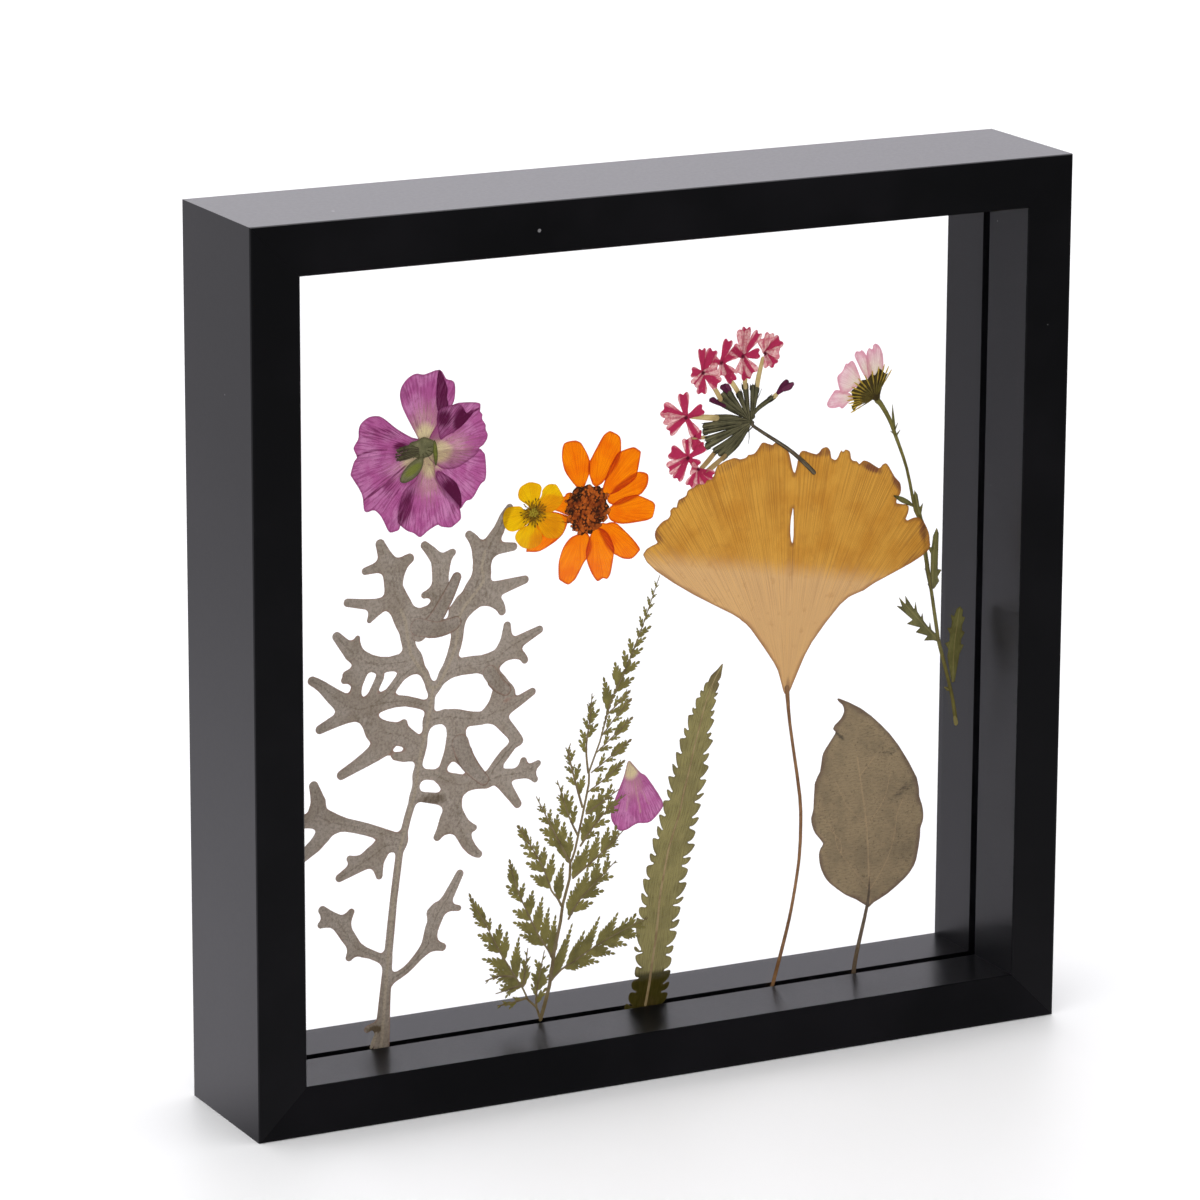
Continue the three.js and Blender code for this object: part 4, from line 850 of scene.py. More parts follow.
# the shade ovals, crease lines and darker folds on these petals are painted shade, on folds, creases and
# where the petals lie in two layers
mallowPetals = [
    {"base": mallowHeart, "tint": [[-64.2, 184.6, 5.6, 7.6, 0, 1.0], [-64.4, 187, 9, 13, 0, 0.42]],
     "creaseShade": [[[[-66, 188], [-68.6, 194], [-69.8, 200]], 0.7, 0.4],
                 [[[-63.6, 190], [-64, 201]], 0.6, 0.3]],
     "folds": [{"outline": [
        [-59.7, 203.7], [-57.7, 199.4], [-57.4, 197.6], [-57.6, 195.7], [-57.2, 194.2], [-57.4, 192.6],
        [-58.6, 191.6], [-59.9, 191.2], [-60.6, 193.5], [-60.8, 195.7], [-60.5, 201.3]]}],
     "outline": [
        [-65.2, 184], [-66.75, 186.3], [-70.5, 193.5], [-71.4, 196.3], [-71.6, 198.2],
        [-71, 200.2], [-69.6, 201.9], [-68, 202.9], [-66.4, 203.25], [-64.25, 202.8],
        [-59.7, 203.7], [-57.8, 201], [-56.1, 200.4], [-55.2, 199.3], [-55.1, 196.6],
        [-55.7, 194], [-58, 190], [-59.2, 186], [-60.6, 183]]},
    {"base": mallowHeart, "tint": [[-60.6, 181, 7.4, 5, 0, 0.95], [-58, 181.4, 12.5, 8, 0, 0.42]],
     "creaseShade": [[[[-56, 186], [-51.6, 190.7], [-48.2, 191.8]], 0.6, 0.8]],
     "folds": [{"dusk": 0.3, "shade": [[-52.6, 189.4, 3.6, 4.4, -40, 0.95], [-58.6, 190, 3, 3, 0, 0.55]],
                "outline": [
        [-60.5, 192.2], [-55.3, 193.7], [-53.3, 193.2], [-51.6, 190.7],
        [-49.7, 191], [-52.7, 187.9], [-54.9, 186.5], [-58, 185.1], [-59.9, 184.7]]}],
     "outline": [
        [-55.5, 193.8], [-51.1, 193.9], [-48, 193.4], [-47.6, 192.6], [-47.7, 190.8], [-47, 190.3],
        [-47.1, 188.8], [-46.1, 187.25], [-46, 185.7], [-45.4, 184.4], [-45.75, 182.9],
        [-46.75, 181.6], [-48, 180.8], [-48.6, 179.4], [-52.7, 176.9], [-54.9, 176], [-58.3, 176],
        [-61, 177.5], [-63.4, 180], [-63.4, 184], [-61.6, 187.4], [-58.4, 191]]},
    {"base": mallowHeart, "tint": [[-60.6, 178.6, 5, 4, 0, 0.7]],
     "folds": [{"dusk": 0.45, "shade": [[-55, 168.4, 4, 6, 30, 0.8]], "outline": [
        [-60.2, 175.8], [-55.8, 172.7], [-54.25, 170.7], [-53.25, 167.4],
        [-53.9, 164.4], [-58, 167.9], [-59.7, 170.1], [-60.8, 172.3], [-61, 174.1]]}],
     "outline": [
        [-52, 180.8], [-48, 180.7], [-46.75, 179.6], [-46.1, 178.5], [-45.75, 174.1], [-46.1, 171.6],
        [-47.4, 170.7], [-49.4, 167.6], [-50.5, 166.6], [-52, 166.3], [-53.8, 164.3], [-56.5, 166.5],
        [-59.2, 170], [-61.6, 174], [-63, 178], [-63, 181], [-57, 181.4]]},
    {"base": mallowHeart, "tint": [[-62.8, 178.6, 5, 7.4, 0, 0.95], [-63, 175, 7, 12, 0, 0.42]],
     "shade": [[-70.4, 165.8, 3.4, 8, -18, 0.72], [-55.6, 165, 2, 5, -40, 0.4]],
     "outline": [
        [-53.8, 164.3], [-53.5, 162.25], [-53.8, 161.3], [-55.5, 160.1], [-56.75, 159.5],
        [-59.6, 160.1], [-60.5, 160.7], [-63.3, 159.4], [-65.4, 157.9], [-66.4, 158], [-67.7, 159.1],
        [-69.9, 160.1], [-72.2, 162.25], [-72.5, 163.8], [-72.2, 166], [-70.7, 171], [-67.4, 173.7],
        [-66.4, 176], [-65.4, 181], [-62, 181.6], [-61, 174], [-58.8, 170.8], [-54.4, 165.8]]},
    {"base": mallowHeart, "tint": [[-67.6, 179.4, 6, 4.6, 30, 0.8], [-70, 178, 9, 6, 30, 0.3]],
     "shade": [[-76.4, 187.4, 8.4, 3, -8, 0.45],
               [-74.6, 172.6, 4.4, 5, 30, 0.45], [-71.6, 183.6, 3, 1.6, 0, 0.8]],
     "creaseShade": [[[[-84.5, 182.2], [-80, 183.2], [-75.5, 183]], 0.5, 0.6],
                 [[[-82.5, 169.6], [-77, 173], [-70, 178]], 0.6, 0.6]],
     "outline": [
        [-64.6, 184.4], [-68, 185.7], [-72.4, 188.5], [-76.1, 191.6], [-78, 192.6], [-80.5, 192.6],
        [-82.4, 191.6], [-83.3, 190.7], [-83.8, 189.1], [-83.9, 186.9], [-85, 185.2], [-85.3, 184.1],
        [-84.3, 181.8], [-85.2, 180.7], [-86.2, 177.6], [-86.1, 176.8], [-83, 171.6], [-82.4, 167.4],
        [-81.6, 166.3], [-79.25, 166.6], [-77.1, 164.4], [-75.2, 160.5], [-74.25, 159.9],
        [-73, 160.1], [-71.75, 160.8], [-70.2, 165.6], [-65, 174], [-62.4, 179.6]]},
]
loosePetal = {
    "base": (-0.6, 86.4), "tint": [[-0.8, 84.4, 3.8, 5.2, 0, 1.1], [0, 79.4, 5.4, 6.6, 0, 0.36]],
    "tintLines": [[[[0.4, 80], [2.2, 71]], 0.7, 0.42], [[[-1, 80], [-2.2, 72]], 0.7, 0.34],
                  [[[1.4, 79.4], [5, 73]], 0.6, 0.36]],
    "outline": [
        [-1.8, 86.2], [-1.3, 86.4], [-0.8, 86], [2.3, 82.4], [4.2, 81], [9.2, 73.3],
        [8.7, 70.7], [5.7, 67.9], [3.5, 67.6], [1.2, 67.8], [-2, 66.4], [-4, 66.3],
        [-5.3, 67.3], [-7, 70.5], [-6.5, 74], [-3.3, 81.3], [-2.3, 84.7]]}
mallowCalyx = [
    {"base": (-65.4, 182), "outline": [
        [-69.4, 182.4], [-68.8, 184.4], [-66.8, 184.8], [-64.8, 185.6], [-62.8, 184.9],
        [-61.4, 183.8], [-61.6, 181.6], [-62.8, 180.2], [-65, 179.8], [-67.4, 180.2]]},
    {"base": (-65, 178.5), "dusk": 0.1, "tint": [[-68, 176.8, 4, 1.6, 32, 1.2]], "outline": [
        [-64.8, 179.6], [-65.4, 176.8], [-67.4, 174.6], [-70.2, 173.4],
        [-71.9, 174.2], [-70.8, 176.8], [-68.4, 179], [-66, 180.2]]},
    {"base": (-64, 181), "dusk": 0.1, "tint": [[-61.4, 181, 1.4, 4, 0, 1.2]], "outline": [
        [-61.6, 184.6], [-60.8, 182.6], [-60.6, 179.4], [-61.2, 177], [-61.8, 179.6], [-62, 182.4]]},
]


def makeMallow(look):
    petal = pressedMaterial("mallowPurple", look["petal"])
    green = pressedMaterial("calyxGreen", look["calyx"])
    makePetals("mallow_petal", mallowPetals, petal, 0.42, 10.0)
    parts, y = startPiece("mallow_loose_petal")
    petalParts(parts, loosePetal, y, 0.38, 12.0)
    makePiece("mallow_loose_petal", parts, [petal])
    parts, y = startPiece("mallow_calyx")
    for k, leaf in enumerate(mallowCalyx):
        petalParts(parts, leaf, y - 0.015 * k, 0.3, 6.0)
    for k in range(16):
        aim = 183.2 - 0.22 * k + 0.3 * math.sin(4 * k)
        reach = -71.6 - 1.2 * math.sin(2.3 * k)
        stamen = [[-66.4, 182.6 - 0.1 * k, 0.3], [-69, aim + 0.4, 0.26], [reach, aim, 0.22]]
        addStrip(parts, stamen, y + 0.02, (0.5 + 0.4 * math.sin(5 * k), 0.1, 0), 0.04, 0, 2, 2)
        addGrains(parts, [[reach - 0.2, aim, 0.34, k, 0.55]], y + 0.01, 0.05)
    for k in range(9):
        turn = math.radians(150 + 27 * k)
        x, z = -65.6 + 2.2 * math.cos(turn), 182.4 + 1.6 * math.sin(turn)
        tip = [x + 1.3 * math.cos(turn), z + 1.3 * math.sin(turn), 0.12]
        addStrip(parts, [[x, z, 0.2], tip], y - 0.07, (0.35, 0.3, 0), 0.03, 0, 2, 2)
    makePiece("mallow_calyx", parts, [green])
    print("mallow made")


makeMallow(mallowLook)

# ginkgo: a fan blade with fine lines running out from the stalk
ginkgoLook = {
    "blade": {
        "colour": rgb(218, 160, 66), "cloud": rgb(204, 142, 52), "cloudSize": 9.0,
        "line": rgb(156, 100, 38), "lineLength": 26.0, "lineWidth": 0.66,
        "lineAmount": 0.5, "rim": rgb(132, 78, 48), "rimWidth": 0.8, "rimAmount": 0.75,
        # the tint is painted reflection: the paler lower part of the blade
        "shade": rgb(124, 76, 52), "tint": rgb(224, 180, 124), "speck": rgb(168, 112, 50),
        "speckSize": 3.2, "speckAmount": 0.2, "glow": 0.3, "roughness": 0.65, "bump": 0.6,
    },
    "stalk": {
        "colour": rgb(158, 118, 78), "cloud": rgb(126, 88, 54), "cloudSize": 6.0,
        "line": rgb(104, 70, 42), "lineLength": 8.0, "lineWidth": 0.25, "lineAmount": 0.6,
        "rim": rgb(96, 66, 44), "rimWidth": 0.25, "glow": 0.1, "roughness": 0.7, "bump": 0.5,
    },
    "fanFrom": (48.6, 96.0), "cell": 0.45,
}
ginkgoBlade = [
    [47.2, 101.2], [46, 105.4], [44.2, 109.4], [36.8, 119.9], [34, 122.6], [30.7, 125.1], [18.4, 132.1],
    [6.7, 140.1], [2.45, 145.4], [5.5, 147.7], [7.1, 148.1], [6.4, 149.3], [6.1, 150.8], [6.7, 152.4],
    [8.6, 154.2], [10.4, 154.8], [11, 156.1], [10.9, 157], [12, 157.9], [13, 157.7], [13.4, 159.7],
    [16, 160.7], [16.4, 162.2], [22.1, 164.7], [24.5, 165.3], [25.6, 168.3], [30.7, 170], [32.5, 169.4],
    [34.7, 169.7], [35.3, 170.4], [37.4, 170.6], [39.3, 173.1], [40.5, 173.4], [42.9, 172.4],
    [44.2, 173.2], [47.2, 171.1], [48.5, 168.9], [50, 163.1], [51.2, 168], [52.1, 169.6], [53.4, 169.7],
    [57.1, 168.3], [58.6, 169.7], [59.8, 170.1], [60.7, 169.9], [61.5, 168.6], [61.8, 166.8],
    [63.2, 166.1], [64.1, 167.1], [64.9, 168.8], [65.6, 168], [66.3, 168.8], [67.8, 168], [68.1, 166.2],
    [68.7, 165.3], [70.2, 165], [70.9, 164], [72.1, 165], [74.2, 164.3], [77.3, 162.2], [78.2, 163.1],
    [79.4, 163.5], [80.4, 162.5], [82.5, 159.1], [84, 157.6], [84.5, 156.1], [84.4, 154.3], [83.5, 153],
    [83.1, 151.5], [86, 150.9], [87.1, 150.2], [87, 148.4], [86.2, 146.6], [86.8, 146.1], [88.3, 146.6],
    [90.2, 146.7], [91.4, 145.9], [92.6, 144.4], [93.9, 141.6], [94.2, 139.2], [93.9, 136.7],
    [88.3, 133.5], [76.7, 129.1], [73, 127.2], [69.9, 126.4], [65.3, 123.9], [56.4, 114], [52.8, 107.6],
    [50, 101.5], [48.9, 99.8], [47.9, 99.8]]
ginkgoSlit = [[49.6, 153.3], [49.1, 150.2], [49, 146.6], [49.3, 144.1],
              [49.6, 143.2], [50, 145.3], [50, 149.6], [49.8, 153.3]]
ginkgoStalk = [
    [48.5, 101.6, 0.75], [49.6, 90.8, 0.5], [53.1, 69.1, 0.55], [53.5, 58.5, 0.55], [53.3, 53.2, 0.54],
    [52.9, 48.5, 0.52], [51.3, 38.5, 0.52], [49.2, 29.1, 0.58], [44.5, 12.1, 0.64]]


def makeGinkgo(look):
    blade = pressedMaterial("goldLeaf", look["blade"])
    stalk = pressedMaterial("tanStalk", look["stalk"])
    parts, y = startPiece("ginkgo_leaf")
    whole = outlineDistance(roundOutline(ginkgoBlade, 2))
    slit = outlineDistance(roundOutline(ginkgoSlit))
    # painted shade where the two halves of the blade overlap
    overlap = [([[50.2, 165], [50.5, 160], [49.3, 130]], 0.5, 0.3)]
    dusk = [[83.4, 157.6, 2.2, 5, 30, 0.75], [92, 142.5, 2, 4, 0, 0.7],
            [75, 162.5, 5, 1.6, -25, 0.8], [60, 168.5, 6, 1.6, 0, 0.55],
            [28, 167.5, 9, 2, 20, 0.4], [7, 150, 2, 4, 30, 0.5], [14, 159.4, 4, 1.6, 30, 0.5],
            [42, 172, 5, 2, 0, 0.4], [48.8, 102, 1.2, 4, 0, 0.5], [88, 134.6, 6, 1.4, 30, 0.4]]

    def shades(x, z):
        # the part below a slanting line is painted paler: painted reflection of the bright floor in the
        # glass
        glassReflection = np.clip((148.4 - 0.19 * (x - 7) - z) / 7, 0, 1)  # the part below a slanting line is paler
        return np.maximum(ovals(dusk, x, z), streaks(overlap, x, z)), 0.8 * glassReflection, x * 0

    def inside(x, z):
        return np.maximum(whole(x, z), -slit(x, z))

    grain = fanGrain(look["fanFrom"], 66.0)
    addRegion(parts, inside, *outlineBox(ginkgoBlade), look["cell"], y, grain, shades, rippled(16.0, 0.05))
    addStrip(parts, ginkgoStalk, y - 0.02, dome=0.07, slot=1)
    makePiece("ginkgo_leaf", parts, [blade, stalk])
    print("ginkgo leaf made")


makeGinkgo(ginkgoLook)

# brown leaf: a netted blade with pale veins and a purple-brown rim
brownLook = {
    "blade": {
        "colour": rgb(150, 131, 100), "cloud": rgb(132, 115, 88), "cloudSize": 9.0,
        "line": rgb(86, 70, 48), "lineLength": 1.6, "lineWidth": 0.9, "lineAmount": 0.22,
        "rim": rgb(94, 70, 62), "rimWidth": 1.1, "rimAmount": 0.75,
        "shade": rgb(84, 74, 58), "vein": rgb(168, 142, 108), "speck": rgb(72, 60, 44),
        "speckSize": 0.7, "speckAmount": 0.5, "glow": 0.2, "roughness": 0.7, "bump": 0.7,
    },
    "cell": 0.4,
}
brownBlade = [
    [65.4, 96.4], [72.6, 92.6], [79.3, 86.9], [85.1, 80.2], [91.4, 69.7], [92.3, 64.1],
    [93.3, 61.3], [93.8, 58.6], [93.6, 56.3], [92.9, 54.4], [92.8, 51.9], [91.7, 45.2],
    [90.1, 42.2], [87.9, 39.9], [82.3, 36.1], [77.9, 34.1], [76.5, 33], [75.8, 33.1], [71.8, 35.9],
    [68.4, 37.7], [63.2, 41.9], [61.2, 44.7], [60, 47.7], [59.6, 50.8], [60.1, 52.7], [60.9, 54.1],
    [58.4, 57.2], [57.3, 59.7], [56.9, 62.2], [57.6, 64.7], [57.9, 72.2], [59.6, 75.5],
    [60.2, 79.7], [61.2, 81.9], [64.3, 86.1], [64.2, 86.9], [63.6, 87.6], [64.3, 88.8],
    [65.7, 89.9], [66.9, 91.6], [67.1, 93], [66.5, 94.4], [65.1, 95.7]]
brownStalk = [[76.2, 42, 0.08], [75.9, 34.6, 0.5], [72.3, 19.1, 0.7], [71.4, 12.2, 0.74]]
brownVeins = {
    "midrib": [[76.5, 34.1], [75.1, 56.9], [71.6, 78.6]],
    "side": [
        [[75.4, 58.3], [72.3, 60.2], [69.6, 63], [67.3, 66.3], [65.9, 69.7], [64.3, 72.3]],
        [[75.4, 57.6], [80.1, 63.6], [81.6, 67.5], [82.4, 71.6]], [[72.9, 73], [77.4, 77.6]],
        [[76.2, 37], [75.1, 39.7], [66.8, 50.2], [65.1, 54.1], [64, 58], [59.6, 62.4]],
        [[76.5, 38], [80.7, 44.1], [82.9, 48.6], [84.3, 53.6], [85.1, 59.7], [87, 64]],
        [[66.8, 50.2], [66.4, 54], [62.4, 58.4]],
    ],
}


# fine veins between the cells of an irregular net
def netVeins(width, low, high, size, seed):
    spread = np.random.default_rng(seed)
    x, z = np.meshgrid(np.arange(low[0], high[0], size), np.arange(low[1], high[1], size))
    x = x.ravel() + spread.uniform(-0.4, 0.4, x.size) * size
    z = z.ravel() + spread.uniform(-0.4, 0.4, z.size) * size

    def net(px, pz):
        near = np.full(len(px), 1e9)
        second = np.full(len(px), 1e9)
        for cx, cz in zip(x, z):
            far = np.hypot(px - cx, pz - cz)
            second = np.minimum(second, np.maximum(near, far))
            near = np.minimum(near, far)
        return np.clip(1 - (second - near) / width, 0, 1)
    return net


def makeBrownLeaf(look):
    blade = pressedMaterial("brownLeaf", look["blade"])
    parts, y = startPiece("brown_leaf")
    outline = roundOutline(brownBlade, 2)
    low, high = outlineBox(outline)
    net = netVeins(0.34, low, high, 2.1, 5)
    veins = [(roundLine(brownVeins["midrib"]), 0.5, 0.65)]
    veins += [(roundLine(line), 0.34, 0.62) for line in brownVeins["side"]]
    dusk = [[65.9, 85.2, 2.9, 0.7, -43, 0.8], [82.7, 78.6, 4, 1.8, 28, 0.35], [87, 66.5, 7, 2.2, 38, 0.4],
            [62, 58, 5, 8, 0, 0.15], [87, 50, 6, 10, 0, 0.15], [78, 84, 7, 6, 40, 0.15]]

    def shades(x, z):
        return ovals(dusk, x, z) + 0.28 * net(x, z), x * 0, streaks(veins, x, z)

    def relief(x, z):
        return waves(x, z, 12.0, 0.035) + 0.05 * streaks(veins, x, z) - 0.02 * net(x, z)

    addSheet(parts, outline, look["cell"], y, lambda x, z: (x, z), shades, relief)
    addStrip(parts, brownStalk, y - 0.02, (0.5, 0, 0.1), 0.07)
    makePiece("brown_leaf", parts, [blade])
    print("brown leaf made")


makeBrownLeaf(brownLook)

# dusty miller: a deeply cut leaf of grey felt, drawn as strokes that melt into each other
millerLook = {
    "felt": {
        "colour": rgb(166, 154, 141), "cloud": rgb(150, 137, 122), "cloudSize": 9.0,
        "line": rgb(106, 92, 76), "lineLength": 1.4, "lineWidth": 2.0, "lineAmount": 0.16,
        "rim": rgb(150, 112, 96), "rimWidth": 0.26, "rimAmount": 0.75, "shade": rgb(98, 84, 66),
        "vein": rgb(170, 156, 136), "glow": 0.12, "roughness": 0.92, "bump": 0.8, "felt": 1.4,
    },
    "cell": 0.42, "melt": 1.9, "flapCell": 0.34, "tipSwell": (0.72, 0.64),
}
millerStrokes = {
    "rib": [[-78, 12.6, 2.6], [-75.7, 40, 1.4], [-72, 70, 1.25], [-67.5, 85, 1.25],
            [-66, 95, 1.25], [-63.5, 105, 1.1], [-61.75, 114.75, 1.2]],
    "leftFork": [[-61.75, 114.75, 1.2], [-63, 115.6, 1.2], [-64.25, 119, 1.4],
                 [-68.5, 125, 2], [-70, 134.5, 2.5], [-71.5, 138, 2.6]],
    "rightFork": [[-61.75, 114.75, 1.2], [-60, 115.5, 1.2], [-56, 123, 1.8], [-54.5, 128, 2],
                  [-54, 133, 2.2], [-52, 137, 2.4], [-46.5, 143, 2.2], [-47, 147, 2.2], [-46, 151.5, 2.2]],
}
millerLobes = [
    [[-70, 134.5, 2.6], [-71.5, 139, 3.4], [-73.5, 144, 2.9],
     [-73.8, 149, 3], [-75.5, 152, 2.6], [-77.5, 157, 1.2]],
    [[-73, 148.5, 2.6], [-70.5, 151, 1.9], [-68.8, 152, 1.3]], [[-76, 151, 2], [-82, 149.9, 0.7]],
    [[-74, 140.5, 2.6], [-79, 140.2, 1.6], [-87.3, 141.7, 0.9]], [[-79, 138.6, 2], [-80.8, 136, 0.3]],
    [[-68, 123.5, 3], [-75, 123, 2.2], [-81, 124, 2.6], [-86, 127.5, 2.5], [-90.6, 132.6, 1.1]],
    [[-85.4, 128, 2], [-84.4, 131.4, 0.3]], [[-84, 122.5, 1.5], [-88, 121.8, 0.35]],
    [[-84.5, 120, 1], [-88.5, 119.9, 0.4]],
    [[-63.5, 109.8, 1.2], [-70, 112, 1.4], [-76, 112.3, 2.2],
     [-82, 111.5, 2.8], [-87.5, 112.5, 3.2], [-95, 119, 1.6], [-98, 121, 1.1]],
    [[-87, 110.5, 2.6], [-95.8, 107.1, 1.1]], [[-85.5, 113, 2], [-84.7, 118, 1.6], [-83.5, 121.5, 1.5]],
    [[-81.5, 112.5, 1], [-77.8, 119.5, 1]],
    [[-80, 112.3, 1], [-75, 115, 1.2], [-71.5, 119, 1.2], [-67, 121.5, 1.5]],
    [[-66.5, 99, 2.4], [-70.5, 102, 3], [-75, 103.5, 3.4], [-79, 104.5, 3]],
    [[-82, 109, 2.5], [-79, 105, 3]], [[-77, 100, 3.2], [-82, 97, 2.3], [-89.5, 93.4, 1.2]],
    [[-71.5, 104.5, 1.2], [-70.6, 106, 0.5]], [[-67, 96.5, 1.8], [-70.5, 96.3, 1.5], [-73.3, 96.7, 0.8]],
    [[-71.5, 72.5, 1.6], [-82, 77, 1.8], [-88, 79, 2], [-93, 80.5, 3],
     [-96.5, 83, 3], [-96.5, 86.5, 2.4], [-97.8, 91.4, 1.2]],
    [[-97, 81.5, 2.2], [-106, 82, 2]], [[-93.5, 79, 2.6], [-97.5, 74.5, 2.2], [-104, 70, 1.4]],
    [[-72.5, 71.5, 1.8], [-76.5, 71.5, 2.6], [-80.5, 69, 3], [-90.3, 64.2, 0.9]],
    [[-86, 68.5, 1.2], [-87.2, 69.3, 0.5]], [[-79, 68, 2.4], [-78.3, 63.2, 0.7]],
    [[-77, 38.8, 1.2], [-81, 41, 1.1], [-85.5, 43.5, 2],
     [-90, 50.5, 2.3], [-93.5, 53.5, 1.9], [-95.5, 55.7, 1]],
    [[-94.5, 52, 1.2], [-96, 51.5, 0.6]], [[-89, 51, 2], [-86.8, 54, 0.6]],
    [[-86.5, 42.5, 1.2], [-87.5, 41, 0.8]],
    [[-74.5, 33, 1.2], [-70.5, 34.8, 0.9], [-66.5, 38.3, 1.2], [-63.5, 41.5, 2.2],
     [-62.5, 45.5, 2.2], [-60.5, 50, 2.2], [-57.5, 54, 1.6], [-53.8, 60.5, 0.9]],
    [[-62.5, 50.5, 1.2], [-61.3, 51.8, 0.8]],
    [[-58, 51.5, 1], [-54.2, 50.6, 0.4]], [[-62, 41, 1.5], [-59.2, 40, 0.9]],
    [[-66, 90.5, 1.5], [-61, 89.8, 1.5], [-55.5, 86.5, 3.2], [-50, 86, 2], [-45.5, 86, 1.6],
     [-41, 87.2, 1.8], [-37, 87, 1.6], [-33, 87.5, 1.6], [-29.7, 89.2, 0.5]],
    [[-34.5, 88, 1.2], [-34.2, 90.5, 0.7]], [[-32, 86.5, 1.1], [-30.6, 84.7, 0.5]],
    [[-40.5, 85, 2.2], [-36, 78.3, 1]], [[-56, 85, 3.2], [-56, 79, 3], [-56.5, 75.5, 3]],
    [[-57.5, 76, 2.6], [-60.6, 72, 0.9]],
    [[-54.5, 76, 2.8], [-51.5, 69, 2], [-49.3, 66.3, 1.3], [-48, 65.4, 0.8]],
    [[-52.5, 74, 2], [-49.4, 73.2, 0.5]], [[-67, 84.5, 1.2], [-58.5, 82.5, 1.8]],
    [[-63, 105.5, 1.6], [-58.5, 106.2, 2.2], [-53, 105, 2.4],
     [-47, 104.3, 2], [-43, 105.5, 2.6], [-39, 106.3, 2], [-31.5, 110, 0.8]],
    [[-55, 104, 3], [-54.5, 99, 3], [-53.5, 95, 2.8], [-48, 88, 1.6], [-45.8, 85.8, 0.9]],
    [[-55.5, 98, 2.4], [-59.2, 91, 0.7]], [[-42, 104, 2.4], [-37, 98, 1.8], [-35.5, 96.5, 1]],
    [[-36.8, 96, 0.7], [-40, 93, 1.6], [-43.5, 89, 1.5], [-45, 86.5, 1]],
    [[-58, 118, 1.6], [-53, 119.8, 2.6], [-47, 119.8, 2.6],
     [-42, 121, 2.6], [-38.5, 123.5, 2.4], [-29.3, 127.5, 0.8]],
    [[-39.5, 124.5, 2.2], [-39.2, 129.8, 0.8]], [[-37.5, 122, 2], [-34.8, 120.7, 1], [-33.8, 119.3, 0.7]],
    [[-45, 118.5, 2.4], [-38.2, 110.5, 1.1]], [[-44, 106, 2], [-42.3, 110, 1.8], [-41.5, 113.5, 1.8]],
    [[-41.5, 110.2, 1.4], [-39, 111.4, 1.2]], [[-54, 135.5, 3], [-49, 139, 3.4], [-33.8, 142.2, 0.9]],
    [[-45, 138.5, 2.4], [-41.8, 136, 1.6], [-40.8, 134, 0.9]],
    [[-49, 141.5, 3], [-47, 146, 2.5], [-46.5, 150, 2.8],
     [-41.8, 157, 1.8], [-40.3, 160.5, 1.2], [-38.5, 163, 0.8]],
    [[-47.5, 151.5, 2.2], [-49.3, 155, 1.5], [-50.8, 156.7, 0.9]], [[-43, 152, 2], [-37.3, 151.9, 0.9]],
    [[-69.5, 135.5, 3.4], [-65, 135.5, 2.4], [-60, 138, 2.6],
     [-59.5, 147, 2.6], [-60.5, 151, 2.1], [-64.2, 155.2, 0.9]],
    [[-58.8, 149, 2.2], [-57, 151.5, 1.3], [-55.8, 152.3, 0.7]],
    [[-61.5, 142, 1.3], [-64.3, 141.2, 0.6]], [[-64, 133.5, 2.4], [-58, 132, 1.6], [-55, 133, 2]],
    [[-79, 19.4, 0.7], [-80.6, 20, 0.5], [-82.2, 19.4, 0.6]],
]
# lobes that lie over the rest of the leaf, with their own edges and a painted shadow round each
millerFlaps = [
    [[-66, 130.5, 2.2], [-61.5, 133.8, 2], [-58.2, 138.6, 1.7], [-56, 142.4, 1.2], [-54.6, 145.2, 0.8]],
    [[-66, 132.4, 2.6], [-61, 131.2, 2.2], [-56.6, 131.8, 1.9], [-54.8, 132.6, 1.2]],
    [[-53.6, 98, 2.6], [-52, 93.6, 2.4], [-49.4, 89.8, 2], [-46.4, 86.6, 1.2]],
    [[-44.5, 117, 2.2], [-42.2, 113.6, 2], [-39.8, 111.6, 1.4]],
]


